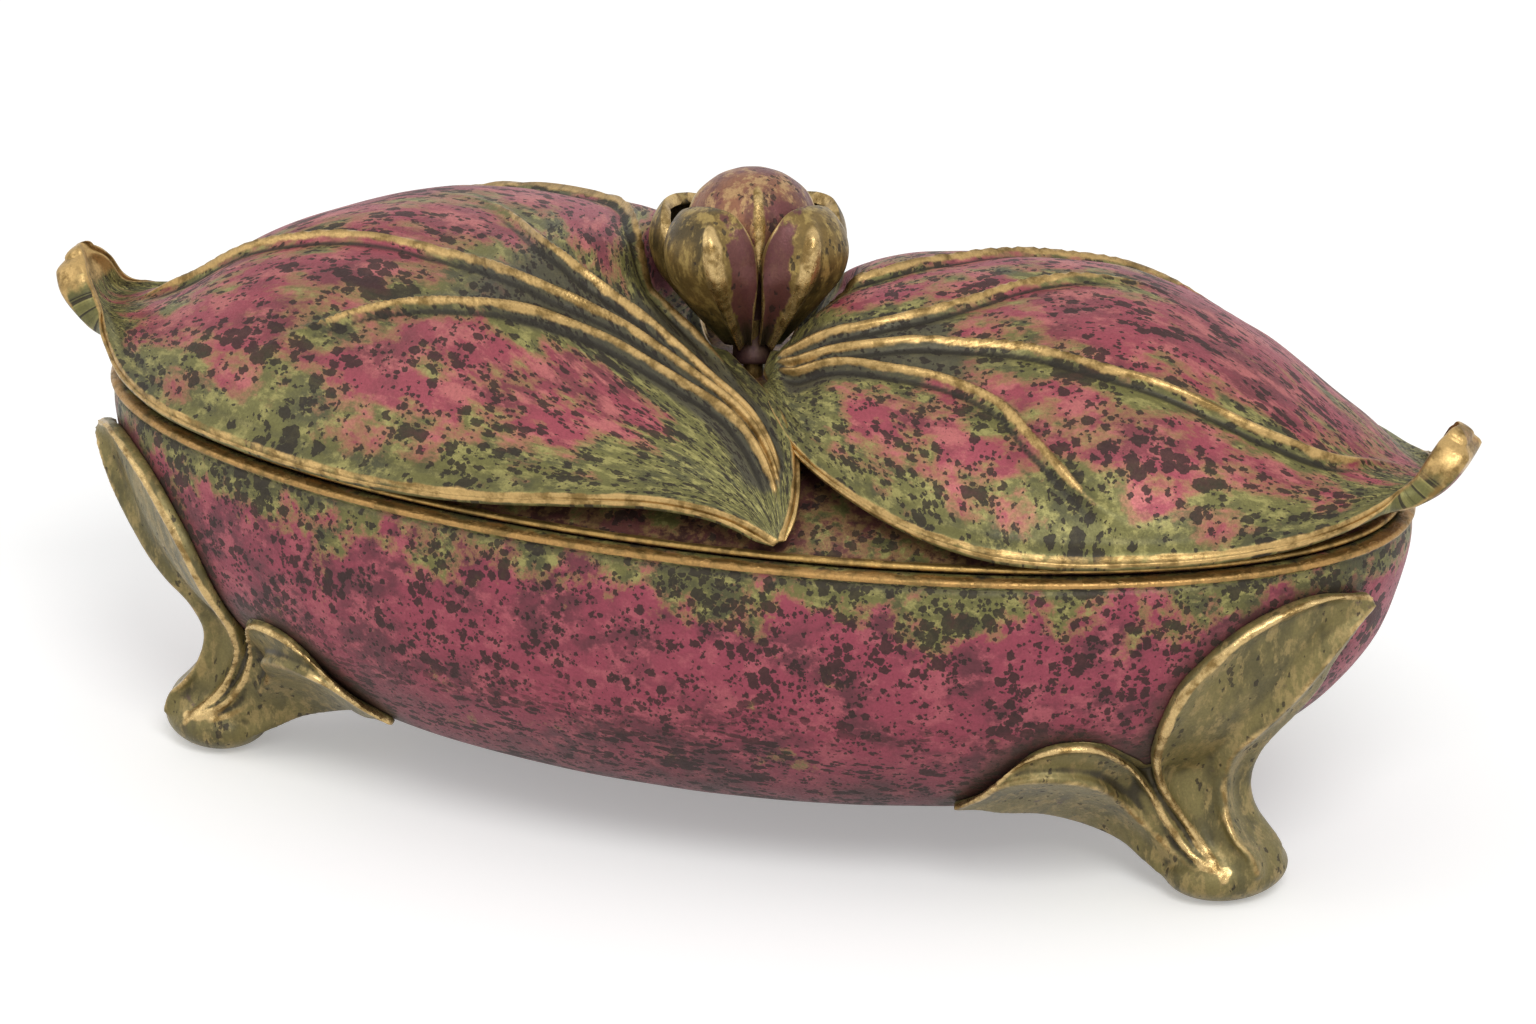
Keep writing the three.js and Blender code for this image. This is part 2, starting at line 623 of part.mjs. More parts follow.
// The lid strap's screws, square to the plate's slope at the rear
const STRAP_SCREW_Y = HALF_WIDTH - PLATE_INSET - STRAP_REACH * 0.55;
const STRAP_SLOPE = Math.atan(
  (2 * PLATE_RISE * STRAP_SCREW_Y) / (HALF_WIDTH - PLATE_INSET) ** 2,
);
const strapNormal = at(0, Math.sin(STRAP_SLOPE), Math.cos(STRAP_SLOPE));
const strapScrewPlaces = [-1, 1].map((side) => {
  const x = side * HINGE_SCREW_X;
  return at(x, STRAP_SCREW_Y, plateTop(x, STRAP_SCREW_Y));
});

function lidPlate() {
  let solid = solidOf(plateShell());
  const holes = [];
  for (const place of [...bossPlaces.left, ...bossPlaces.right]) {
    const [x, y] = place;
    const face = padFace(place);
    const boss = bar(at(x, y, face), at(x, y, plateTop(x, y) - PLATE_WALL / 2), LEAF_BOSS_RADIUS);
    solid = solid.add(solidOf(boss));
    holes.push(bar(at(x, y, face - 1), at(x, y, plateTop(x, y) + 2), LEAF_SCREW_RADIUS + SCREW_GAP, 12));
  }
  const [x, y] = BUD_FOOT;
  const seat = bar(at(x, y, padFace(BUD_FOOT)), at(x, y, STUD_SEAT), NUT_RADIUS + 1, 20);
  solid = solid.add(solidOf(seat));
  holes.push(bar(at(x, y, padFace(BUD_FOOT) - 1), at(x, y, STUD_SEAT + 1), STUD_RADIUS + SCREW_GAP, 12));
  for (const place of strapScrewPlaces) {
    const top = place.clone().addScaledVector(strapNormal, 2);
    const bottom = place.clone().addScaledVector(strapNormal, -2 * PLATE_WALL);
    holes.push(bar(top, bottom, HINGE_SCREW_RADIUS + SCREW_GAP, 12));
  }
  for (const hole of holes) solid = solid.subtract(solidOf(hole));
  return geometryOf(solid);
}

// The bud's own frame: its axis leans back from where its stem stands

const budBase = at(BUD_FOOT[0], BUD_FOOT[1], STUD_SEAT + SEAT_GAP);
const leanBack = new THREE.Matrix4()
  .makeTranslation(budBase.x, budBase.y, budBase.z)
  .multiply(new THREE.Matrix4().makeRotationX(-BUD_LEAN * DEG))
  .multiply(new THREE.Matrix4().makeRotationY(-BUD_TURN * DEG));
const budFrame = leanBack.clone().invert();

// The leaves

// Reads one leaf's rows as smooth curves
function leafForm(rows, side, veins) {
  const place = ([x, y, z]) => [x * HALF_LENGTH, y * HALF_WIDTH, RIM_HEIGHT + z];
  return {
    side,
    front: curveOf(rows.map((row) => place(row.slice(0, 3)))),
    rear: curveOf(rows.map((row) => place(row.slice(3, 6)))),
    crown: curveOf(rows.map((row) => [row[6], 0, 0])),
    veins: veins.map((rowsOfVein) => ({
      path: rowsOfVein,
      from: rowsOfVein[0][0],
      to: rowsOfVein[rowsOfVein.length - 1][0],
    })),
  };
}

const leaves = {
  left: leafForm(LEFT_LEAF, -1, LEFT_VEINS),
  right: leafForm(RIGHT_LEAF, 1, RIGHT_VEINS),
};

const CROWN_FULLNESS = 0.8; // below 1 the leaf is blown up, with steep sides

// The sepals' outline as [radius, height] along the bud's axis
const SEPAL_OUTLINE = [
  [4.4, SEPAL_START],
  [8.6, 8],
  [12.9, 12],
  [SEPAL_RADIUS - 1.2, 15.6],
  [SEPAL_RADIUS, 19.2],
  [SEPAL_RADIUS - 0.8, 22.8],
  [SEPAL_RADIUS - 3, SEPAL_HEIGHT - 1.2],
  [SEPAL_RADIUS - 5.2, SEPAL_HEIGHT],
];

// The way that the rear pair of sepals faces, between the two
const OPEN_SIDE = (135 + SEPAL_TURN) * DEG;

// How high a leaf may rise under the sepals, along the bud's axis, at a point round that axis
function nestRoof(x, y) {
  const steep = 3;
  const opening = SEPAL_OPENING * Math.max(0, Math.cos(Math.atan2(y, x) - OPEN_SIDE));
  const radius = Math.hypot(x, y) - opening;
  let [low, high] = SEPAL_OUTLINE;
  for (let k = 1; k < 4 && radius > high[0]; k++) {
    low = SEPAL_OUTLINE[k];
    high = SEPAL_OUTLINE[k + 1];
  }
  const slope = (high[1] - low[1]) / (high[0] - low[0]);
  const rise = radius > high[0] ? Math.max(slope, steep) : slope;
  return low[1] + rise * (radius - low[0]) - SEPAL_KEEL - BEAD_RISE - NEST_GAP;
}

// A point of the leaf's smooth upper face
function leafPoint(leaf, along, across) {
  const p = leaf.front.getPoint(along).lerp(leaf.rear.getPoint(along), across);
  const crown = leaf.crown.getPoint(along).x;
  p.z += crown * Math.max(0, 4 * across * (1 - across)) ** CROWN_FULLNESS;
  const q = p.clone().applyMatrix4(budFrame);
  const over = q.z - nestRoof(q.x, q.y);
  q.z -= (over + Math.hypot(over, NEST_BLEND)) / 2;
  return q.applyMatrix4(leanBack);
}

// The direction out of the leaf's upper face
function leafNormal(leaf, along, across) {
  const step = 0.01;
  const u = THREE.MathUtils.clamp(along, step, 1 - step);
  const v = THREE.MathUtils.clamp(across, 4 * step, 1 - 4 * step);
  const du = leafPoint(leaf, u + step, v).sub(leafPoint(leaf, u - step, v));
  const dv = leafPoint(leaf, u, v + step).sub(leafPoint(leaf, u, v - step));
  return du.cross(dv).multiplyScalar(leaf.side).normalize();
}

// Where a vein lies across the leaf, and how far it stands out, at a share along the leaf
function veinAt(vein, along) {
  const rows = vein.path;
  const fade = 0.08;
  const start = THREE.MathUtils.smoothstep(along, vein.from - fade / 2, vein.from + fade / 2);
  const end = 1 - THREE.MathUtils.smoothstep(along, vein.to - fade, vein.to + fade / 4);
  let k = 0;
  while (k + 2 < rows.length && rows[k + 1][0] < along) k++;
  const share = THREE.MathUtils.clamp((along - rows[k][0]) / (rows[k + 1][0] - rows[k][0]), 0, 1);
  return { across: THREE.MathUtils.lerp(rows[k][1], rows[k + 1][1], share), rise: start * end };
}

// The lines that run along the leaf: [across, rise] pairs from the front margin to the rear one
function leafLines(leaf, along, width) {
  const crest = Math.min((BEAD_WIDTH * 0.35) / width, 0.14);
  const toe = Math.min(BEAD_WIDTH / width, 0.26);
  const half = Math.min(VEIN_WIDTH / 2 / width, 0.035);
  const lines = [[crest, BEAD_RISE], [toe, 0]];
  let last = toe;
  for (const vein of leaf.veins) {
    const { across, rise } = veinAt(vein, along);
    const centre = THREE.MathUtils.clamp(across, toe + 2 * half, 1 - toe - 2 * half);
    lines.push([(last + centre - half) / 2, 0]);
    lines.push([centre - half, 0], [centre, VEIN_RISE * rise], [centre + half, 0]);
    last = centre + half;
  }
  lines.push([(last + 1 - toe) / 2, 0]);
  lines.push([1 - toe, 0], [1 - crest, BEAD_RISE]);
  const least = 0.01;
  for (let i = 1; i < lines.length; i++) lines[i][0] = Math.max(lines[i][0], lines[i - 1][0] + least);
  for (let i = lines.length - 2; i >= 0; i--) lines[i][0] = Math.min(lines[i][0], lines[i + 1][0] - least);
  return lines;
}

// One cross-section of the leaf's shell, let out all round by a clearance
function leafSection(leaf, along, grow) {
  const front = leafPoint(leaf, along, 0);
  const rear = leafPoint(leaf, along, 1);
  const width = front.distanceTo(rear);
  const taper = THREE.MathUtils.smoothstep(width, 0, 7);
  const thick = THREE.MathUtils.smoothstep(along, TIP_START, TIP_FULL);
  const wall = THREE.MathUtils.lerp(LEAF_WALL, TIP_WALL, thick) * taper;
  const margin = (across, outward, rise) => {
    const p = leafPoint(leaf, along, across);
    const inner = leafPoint(leaf, along, across ? 0.95 : 0.05);
    const out = p.clone().sub(inner).normalize();
    return p.addScaledVector(out, outward).addScaledVector(leafNormal(leaf, along, across), rise);
  };
  const edge = (across) => [
    margin(across, 0.3 * taper + grow, -wall - grow),
    margin(across, 1.1 * taper + grow, -wall * 0.4),
    margin(across, 0.7 * taper + grow, BEAD_RISE * 0.6 * taper + grow),
  ];
  const raised = ([across, rise]) =>
    leafPoint(leaf, along, across).addScaledVector(
      leafNormal(leaf, along, across),
      rise * taper + grow,
    );
  const under = (across) =>
    leafPoint(leaf, along, across).addScaledVector(leafNormal(leaf, along, across), -wall - grow);
  return [
    ...edge(0),
    ...leafLines(leaf, along, width).map(raised),
    ...edge(1).reverse(),
    ...[0.93, 0.8, 0.62, 0.38, 0.2, 0.07].map(under),
  ];
}

function leafShell(leaf, grow = 0) {
  const ends = 0.014;
  const loops = [];
  for (let i = 0; i <= LEAF_STEPS; i++) {
    const along = ends + ((1 - 2 * ends) * i) / LEAF_STEPS;
    loops.push(leafSection(leaf, along, grow));
  }
  return solidOf(loftLoops(loops));
}

// All that lies under the middle of the leaf's shell, for ending its bosses inside it
function underLeaf(leaf) {
  const loops = [];
  const shares = [0.02, 0.15, 0.3, 0.5, 0.7, 0.85, 0.98];
  for (let i = 1; i < 24; i++) {
    const top = shares.map((across) =>
      leafPoint(leaf, i / 24, across).addScaledVector(leafNormal(leaf, i / 24, across), -LEAF_WALL / 2),
    );
    const bottom = top.map((p) => at(p.x, p.y, RIM_HEIGHT)).reverse();
    loops.push([...top, ...bottom]);
  }
  return solidOf(loftLoops(loops));
}

function leafSolid(name) {
  const leaf = leaves[name];
  let solid = leafShell(leaf);
  const under = underLeaf(leaf);
  for (const [x, y] of bossPlaces[name]) {
    const foot = plateTop(x, y) + SEAT_GAP + 0.4;
    const post = solidOf(bar(at(x, y, foot), at(x, y, foot + 40), LEAF_BOSS_RADIUS));
    solid = solid.add(post.intersect(under));
    const bore = bar(
      at(x, y, foot - 1),
      at(x, y, foot + LEAF_SCREW_BITE + SCREW_GAP),
      LEAF_SCREW_RADIUS + SCREW_GAP,
      12,
    );
    solid = solid.subtract(solidOf(bore));
  }
  return solid;
}

// The bud and its sepals

// The bud's half outline as [radius, height]: its hidden neck, then its round head
const BUD_PROFILE = [
  [0, 1.2],
  [2.8, 1.4],
  [3, STEM_HEIGHT],
  [4.2, 9],
  [6.8, 13],
  [BUD_RADIUS * 0.93, BUD_HEIGHT - 15.1],
  [BUD_RADIUS, BUD_HEIGHT - 10.6],
  [BUD_RADIUS * 0.95, BUD_HEIGHT - 6.9],
  [BUD_RADIUS * 0.8, BUD_HEIGHT - 3.7],
  [BUD_RADIUS * 0.52, BUD_HEIGHT - 1.2],
  [BUD_RADIUS * 0.22, BUD_HEIGHT - 0.2],
  [0, BUD_HEIGHT],
];
const BUD_KEEL = 0.035; // how far the bud swells under the gaps between the sepals, as a share

function budSolid() {
  const core = new THREE.LatheGeometry(
    BUD_PROFILE.map(([r, z]) => new THREE.Vector2(r, z)),
    24,
  ).rotateX(Math.PI / 2);
  const position = core.getAttribute("position");
  for (let i = 0; i < position.count; i++) {
    const p = at(position.getX(i), position.getY(i), position.getZ(i));
    const round = Math.atan2(p.y, p.x) - (SEPAL_TURN + 45) * DEG;
    const keel = Math.cos(4 * round) ** 8 * THREE.MathUtils.smoothstep(p.z, 14, 20);
    const swell = 1 + BUD_KEEL * (Math.cos(4 * round) > 0 ? keel : 0);
    position.setXYZ(i, p.x * swell, p.y * swell, p.z);
  }
  core.applyMatrix4(leanBack);
  const stem = bar(budBase, budBase.clone().add(at(0, 0, STEM_HEIGHT)), STEM_RADIUS, 20);
  const bore = bar(
    budBase.clone().add(at(0, 0, -1)),
    budBase.clone().add(at(0, 0, STUD_BITE + SCREW_GAP)),
    STUD_RADIUS + SCREW_GAP,
    12,
  );
  return geometryOf(solidOf(core).add(solidOf(stem)).subtract(solidOf(bore)));
}

// One sepal: a cupped petal that swells out from the stem and closes over the bud's side
function sepal(quarter, opening) {
  const meridian = curveOf(SEPAL_OUTLINE.map((row) => [...row, 0]));
  const facing = -90 + SEPAL_TURN + 90 * quarter;
  const side = quarter % 2 ? -1 : 1;
  const keel = side * SEPAL_KEEL_AT;
  const across = [-1, -0.8, -0.5, -0.15, 0.2, SEPAL_KEEL_AT, 0.64, 0.86, 1].map((t) => t * side);
  if (side < 0) across.reverse();
  const steps = 10;
  const loops = [];
  for (let i = 0; i <= steps; i++) {
    const along = 0.01 + (0.98 * i) / steps;
    const { x: radius, y: height } = meridian.getPoint(along);
    const slope = meridian.getTangent(along);
    const tip = Math.max(0, (along - SEPAL_ARCH) / (1 - SEPAL_ARCH));
    const open = (0.85 + 0.15 * Math.sin(Math.PI * along)) * Math.sqrt(1 - tip ** 2);
    const spread = SEPAL_SPREAD * open;
    const wall = SEPAL_WALL * Math.min(1, 0.45 + 1.6 * along);
    const place = (t, depth, rise) => {
      const angle = (facing + t * spread) * DEG;
      const cup = 1 - SEPAL_CUP * (t * open) ** 2 * Math.min(1, 2 * along);
      const cupped = (radius + opening * along) * cup + slope.y * (rise - depth);
      const z = height + (opening * along) / 2 - slope.x * (rise - depth);
      return at(cupped * Math.cos(angle), cupped * Math.sin(angle), z).applyMatrix4(leanBack);
    };
    const outer = across.map((t) => place(t, 0, t === keel ? SEPAL_KEEL * (1 - 0.5 * tip) : 0));
    const inner = [0.75, 0.25, -0.25, -0.75].map((t) => place(t, wall, 0));
    loops.push([...outer, ...inner]);
  }
  return loftLoops(loops);
}

// The hinge

function knuckle(from, to) {
  return solidOf(bar(at(from, PIN_Y, PIN_Z), at(to, PIN_Y, PIN_Z), KNUCKLE_RADIUS, 20));
}

function pinBore() {
  const [from, to] = [-HINGE_LENGTH, HINGE_LENGTH].map((x) => at(x, PIN_Y, PIN_Z));
  return solidOf(bar(from, to, PIN_RADIUS + PIN_GAP));
}

const KNUCKLE_SPLIT = HINGE_LENGTH / 6; // half the lid's middle knuckle

function hingeBracket() {
  const half = HINGE_LENGTH / 2;
  const bottom = PIN_Z - HINGE_HEIGHT;
  const clear = KNUCKLE_SPLIT + SEAT_GAP;
  const top = PIN_Z - KNUCKLE_RADIUS - SEAT_GAP;
  let solid = solidOf(block(at(-half, HALF_WIDTH - 4, bottom), at(half, BRACKET_FACE, top)));
  for (const side of [-1, 1]) {
    const [from, to] = [Math.min(side * clear, side * half), Math.max(side * clear, side * half)];
    const cheek = block(at(from, PIN_Y - KNUCKLE_RADIUS, bottom + 2), at(to, BRACKET_FACE, PIN_Z));
    solid = solid.add(knuckle(from, to)).add(solidOf(cheek));
  }
  solid = solid.subtract(bowlBlock(SEAT_GAP)).subtract(pinBore());
  const lidRoom = block(
    at(-HINGE_LENGTH, 0, RIM_HEIGHT - 2),
    at(HINGE_LENGTH, HALF_WIDTH + RIM_ROLL + SEAT_GAP, PIN_Z + 5),
  );
  solid = solid.subtract(solidOf(lidRoom));
  for (const place of bracketScrewPlaces) {
    const from = place.clone().add(at(0, 1, 0));
    const to = place.clone().add(at(0, -HINGE_STAND - 2 * BOWL_WALL, 0));
    solid = solid.subtract(solidOf(bar(from, to, HINGE_SCREW_RADIUS + SCREW_GAP, 12)));
  }
  return geometryOf(solid);
}

function hingeStrap() {
  const half = HINGE_LENGTH / 2;
  const rear = HALF_WIDTH - PLATE_INSET;
  const over = solidOf(block(at(-half, rear - STRAP_REACH, PLATE_TOP - 1), at(half, rear, PLATE_TOP + 9)));
  const strap = over.intersect(plateBlock(SEAT_GAP + STRAP_WALL)).subtract(plateBlock(SEAT_GAP));
  const neckLow = PLATE_TOP + SEAT_GAP;
  const neckHigh = neckLow + STRAP_WALL;
  const neck = block(at(-KNUCKLE_SPLIT, rear - 1.5, neckLow), at(KNUCKLE_SPLIT, PIN_Y, neckHigh));
  let solid = strap
    .add(solidOf(neck).subtract(plateBlock(SEAT_GAP)))
    .add(knuckle(-KNUCKLE_SPLIT, KNUCKLE_SPLIT))
    .subtract(pinBore());
  for (const place of strapScrewPlaces) {
    const top = place.clone().addScaledVector(strapNormal, 6);
    const bottom = place.clone().addScaledVector(strapNormal, -6);
    solid = solid.subtract(solidOf(bar(top, bottom, HINGE_SCREW_RADIUS + SCREW_GAP, 12)));
  }
  return geometryOf(solid);
}

function hingePin() {
  const half = HINGE_LENGTH / 2;
  const head = PIN_RADIUS * 1.6;
  const end = half + SEAT_GAP;
  const profile = [
    [0, -end - PIN_HEAD], [head * 0.8, -end - PIN_HEAD * 0.6], [head, -end], [PIN_RADIUS, -end],
    [PIN_RADIUS, end], [head, end], [head * 0.8, end + PIN_HEAD * 0.6], [0, end + PIN_HEAD],
  ];
  return new THREE.LatheGeometry(
    profile.map(([r, z]) => new THREE.Vector2(r, z)),
    16,
  )
    .rotateZ(-Math.PI / 2)
    .translate(0, PIN_Y, PIN_Z);
}

// The velvet linings

// The wall's lining, a thin shell just inside the bowl
function wallLining() {
  const heights = INNER_SHARES.map((share) => INNER_FLOOR + share * (RIM_HEIGHT - INNER_FLOOR));
  const [top, ...between] = heights.slice(0, -1);
  const low = INNER_FLOOR + SEAT_GAP;
  const ring = (z, depth) => {
    const { length, width } = insideAt(z);
    return oval(length - depth, width - depth, z, LINING_STEPS);
  };
  const outer = [top, ...between, low].map((z) => ring(z, LINING_GAP));
  const inner = [low, ...between.slice(1).reverse(), top].map((z) => ring(z, LINING_GAP + LINING_WALL));
  return closeRings([...outer, ...inner]);
}

// A ring-shaped solid: loops in a closed circuit, with no end caps
function closeRings(loops) {
  const count = loops[0].length;
  const points = loops.flat();
  const index = [];
  loops.forEach((_, k) => {
    const next = (k + 1) % loops.length;
    for (let i = 0; i < count; i++) {
      const j = (i + 1) % count;
      const [a, b, c, d] = [k * count + i, k * count + j, next * count + j, next * count + i];
      index.push(a, b, c, a, c, d);
    }
  });
  if (volumeOf(points, index) < 0)
    for (let i = 0; i < index.length; i += 3) [index[i], index[i + 1]] = [index[i + 1], index[i]];
  return new THREE.BufferGeometry().setFromPoints(points).setIndex(index);
}

// A velvet cushion on an oval plan: a crowned top, drawn-in sides and a flat back
function cushion(length, width, back, crownAt) {
  const rows = [
    // share of the plan, share of the way from the back to the crowned face
    [0.25, 0], [0.6, 0], [0.9, 0], [0.975, 0.1], [1, 0.35], [0.985, 0.62],
    [0.93, 0.92], [0.76, 1], [0.5, 1], [0.25, 1],
  ];
  const loops = rows.map(([share, edge]) =>
    oval(length * share, width * share, 0, CUSHION_STEPS).map((p) =>
      at(p.x, p.y, THREE.MathUtils.lerp(back(p.x, p.y), crownAt(p.x, p.y), edge)),
    ),
  );
  return loftLoops(loops);
}

function floorCushion() {
  const low = INNER_FLOOR + SEAT_GAP;
  const inside = insideAt(low, BOWL_WALL);
  const depth = SEAT_GAP + LINING_GAP + LINING_WALL;
  const [length, width] = [inside.length - depth, inside.width - depth];
  const crown = (x, y) => {
    const t2 = (x / length) ** 2 + (y / width) ** 2;
    return low + PAD_EDGE + PAD_CROWN * Math.max(0, 1 - t2) ** 0.7;
  };
  return cushion(length, width, () => low, crown);
}

function lidCushion() {
  const flangeIn = FLANGE_GAP + FLANGE_WALL + SEAT_GAP;
  const length = INNER_RIM.length - flangeIn;
  const width = INNER_RIM.width - flangeIn;
  const under = (x, y) => plateTop(x, y) - PLATE_WALL - LID_PAD_DROP;
  const face = (x, y) => {
    const t2 = (x / length) ** 2 + (y / width) ** 2;
    return under(x, y) - LID_PAD_THICK - LID_PAD_CROWN * Math.max(0, 1 - t2) ** 1.5;
  };
  return cushion(length, width, under, face);
}

// The scene graph

const casket = new THREE.Group();

function add(name, geometry, finish) {
  geometry.computeVertexNormals();
  const mesh = new THREE.Mesh(geometry, new THREE.MeshStandardMaterial(finish));
  mesh.name = name;
  casket.add(mesh);
  return mesh;
}

add("bowl", bowlBody(), BRONZE);

for (const [corner, sx, sy] of CORNERS) {
  const frame = frameOf(corner);
  const mesh = add("foot_" + corner, foot(frame), OLIVE_BRONZE);
  mesh.scale.set(sx, -sy, 1);
  const lugBottom = FLOOR_HEIGHT - SEAT_GAP - LUG_THICKNESS;
  const reach = FLOOR_HEIGHT + FOOT_SCREW_BITE - lugBottom;
  const fastener = add("foot_screw_" + corner, screw(FOOT_SCREW_RADIUS, reach), BRASS);
  fastener.position.set(sx * frame.eye.x, -sy * frame.eye.y, lugBottom - SEAT_GAP);
}

add("wall_lining", wallLining(), VELVET);
add("floor_cushion", floorCushion(), VELVET);

add("lid_plate", lidPlate(), BRONZE);
add("lid_cushion", lidCushion(), VELVET);
const rightLeaf = leafSolid("right");
const leftLeaf = leafSolid("left").subtract(leafShell(leaves.right, SEAT_GAP));
add("right_leaf", geometryOf(rightLeaf), BRONZE);
add("left_leaf", geometryOf(leftLeaf), BRONZE);

for (const side of ["left", "right"])
  bossPlaces[side].forEach((place, i) => {
    const face = padFace(place) - SEAT_GAP;
    const reach = plateTop(...place) + LEAF_SCREW_BITE - face;
    const name = side + "_leaf_screw_" + (i ? "outer" : "inner");
    const fastener = add(name, screw(LEAF_SCREW_RADIUS, reach), BRASS);
    fastener.position.set(place[0], place[1], face);
  });

add("bud", budSolid(), OLIVE_BRONZE);
["front", "right", "rear", "left"].forEach((way, quarter) => {
  const opening = quarter < 2 ? 0 : SEPAL_OPENING;
  add("sepal_" + way, sepal(quarter, opening), OLIVE_BRONZE);
});

const nutTop = padFace(BUD_FOOT) - SEAT_GAP;
const studLow = at(BUD_FOOT[0], BUD_FOOT[1], nutTop - NUT_HEIGHT - STUD_TAIL);
const studHigh = at(BUD_FOOT[0], BUD_FOOT[1], budBase.z + STUD_BITE);
add("finial_stud", bar(studLow, studHigh, STUD_RADIUS, 14), BRASS);
const nutLow = at(BUD_FOOT[0], BUD_FOOT[1], nutTop - NUT_HEIGHT);
const nutHigh = at(BUD_FOOT[0], BUD_FOOT[1], nutTop);
const nut = solidOf(bar(nutLow, nutHigh, NUT_RADIUS, 6)).subtract(
  solidOf(bar(studLow, studHigh, STUD_RADIUS + SCREW_GAP, 12)),
);
add("finial_nut", geometryOf(nut), BRASS);

add("hinge_bracket", hingeBracket(), BRASS);
add("hinge_strap", hingeStrap(), BRASS);
add("hinge_pin", hingePin(), BRASS);
bracketScrewPlaces.forEach((place, i) => {
  const reach = BRACKET_FACE + SEAT_GAP - HALF_WIDTH;
  const name = "bracket_screw_" + (i ? "right" : "left");
  const fastener = add(name, screw(HINGE_SCREW_RADIUS, reach), BRASS);
  fastener.rotation.x = Math.PI / 2;
  fastener.position.set(place.x, place.y + SEAT_GAP, place.z);
});
strapScrewPlaces.forEach((place, i) => {
  const reach = STRAP_WALL + 2 * SEAT_GAP + PLATE_WALL;
  const name = "strap_screw_" + (i ? "right" : "left");
  const fastener = add(name, screw(HINGE_SCREW_RADIUS, reach), BRASS);
  const seat = place.clone().addScaledVector(strapNormal, 2 * SEAT_GAP + STRAP_WALL);
  fastener.quaternion.setFromUnitVectors(at(0, 0, -1), strapNormal);
  fastener.position.copy(seat);
});

// The group is centred over its own box, from the bowl's belly to the hinge's screw heads
const frontReach = HALF_WIDTH + Math.max(...BOWL_SIDE.map((row) => row[2]));
const rearReach = BRACKET_FACE + SEAT_GAP + HEAD_HEIGHT;
casket.position.y = (frontReach - rearReach) / 2;

export default casket;
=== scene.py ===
# %% [markdown]
# # A jewelry casket with a lid of two leaves
# The real object is a small cast bronze casket. An oval bowl stands on four
# feet, and each foot is two curling leaf blades that meet in a pad. Two large
# veined leaves cover the hinged lid, and a round bud in four sepals is the
# finger grip. A solid model of it is already there. This lesson keeps that
# model's sizes and places, and gives every piece the shape and finish that the
# eye sees. All sizes below are in millimetres.

import math

import bmesh
import bpy
from mathutils import Matrix, Vector, noise
from mathutils.kdtree import KDTree


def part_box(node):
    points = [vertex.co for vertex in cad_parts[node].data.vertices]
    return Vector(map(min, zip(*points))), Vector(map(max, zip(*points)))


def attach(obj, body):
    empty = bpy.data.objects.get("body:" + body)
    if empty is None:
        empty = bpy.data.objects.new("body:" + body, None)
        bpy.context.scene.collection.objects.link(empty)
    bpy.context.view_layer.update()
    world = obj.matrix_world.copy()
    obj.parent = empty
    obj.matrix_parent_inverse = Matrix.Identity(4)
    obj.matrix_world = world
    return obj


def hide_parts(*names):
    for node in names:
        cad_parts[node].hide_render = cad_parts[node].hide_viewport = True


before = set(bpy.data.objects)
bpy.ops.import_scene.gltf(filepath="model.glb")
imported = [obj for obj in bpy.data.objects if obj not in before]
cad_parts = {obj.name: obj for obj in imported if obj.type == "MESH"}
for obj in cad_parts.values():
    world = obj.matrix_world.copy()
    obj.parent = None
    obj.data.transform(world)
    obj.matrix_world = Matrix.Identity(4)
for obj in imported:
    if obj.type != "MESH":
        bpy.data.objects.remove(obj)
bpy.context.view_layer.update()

# %% [markdown]
# The casket's own frame has its middle between the rim's ends and sides. The
# scene's frame is moved a little along Y so that the whole box is centred, so
# the first thing to find is that shift. The hinge pin tells it: its axis is
# 57 mm behind the casket's middle.

# %% Find the shift between the two frames
PIN_Y = 57.0
pin_low, pin_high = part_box("hinge_pin")
Y_SHIFT = (pin_low.y + pin_high.y) / 2 * 1000 - PIN_Y


def spot(x, y, z):
    """A point of the casket in millimetres, as the scene's point in metres."""
    return Vector((x, y + Y_SHIFT, z)) / 1000


print("The casket stands", round(Y_SHIFT, 2), "mm along Y in the scene")

# %% [markdown]
# ## The camera
# A camera far away with a long lens shows a small object as a product
# photograph does, with almost parallel sides. It could be aimed with a Track To
# constraint, but a matrix built from three directions keeps it exactly where
# the photograph was taken: 20 degrees round to the right and 23 degrees up.

# %% Place the camera
CAMERA_TURN = math.radians(19.92)
CAMERA_LIFT = math.radians(22.63)
CAMERA_DISTANCE = 1283.3
LENS_SCALE = 7885 / 1536  # focal length as a share of the picture's width

towards = Vector(
    (
        math.sin(CAMERA_TURN) * math.cos(CAMERA_LIFT),
        -math.cos(CAMERA_TURN) * math.cos(CAMERA_LIFT),
        math.sin(CAMERA_LIFT),
    )
)
rightward = Vector((math.cos(CAMERA_TURN), math.sin(CAMERA_TURN), 0))
upward = towards.cross(rightward)
eye = Vector((0, 0, 45.83)) + towards * CAMERA_DISTANCE + rightward * 2.957 - upward * 0.36

camera_data = bpy.data.cameras.new("camera")
camera_data.sensor_width = 36
camera_data.lens = 36 * LENS_SCALE
camera_data.clip_start = 0.05
camera_data.clip_end = 20
camera = bpy.data.objects.new("camera", camera_data)
turned = Matrix((rightward, upward, towards)).transposed().to_4x4()
camera.matrix_world = Matrix.Translation(spot(*eye)) @ turned
bpy.context.collection.objects.link(camera)
bpy.context.scene.camera = camera
print("Lens", round(camera_data.lens, 1), "mm, camera at", tuple(round(c, 3) for c in camera.location))

# %% [markdown]
# ## Node tools
# Every finish here is built from nodes, so small helpers save typing. The first
# puts a node in a tree and fills its sockets, and the others use it for what
# comes back again and again: arithmetic, a smooth step, a mix and a noise.
# Colours were read off the screen, and a shader wants them linear, so the last
# helper turns one into the other.

# %% Helpers for shader nodes


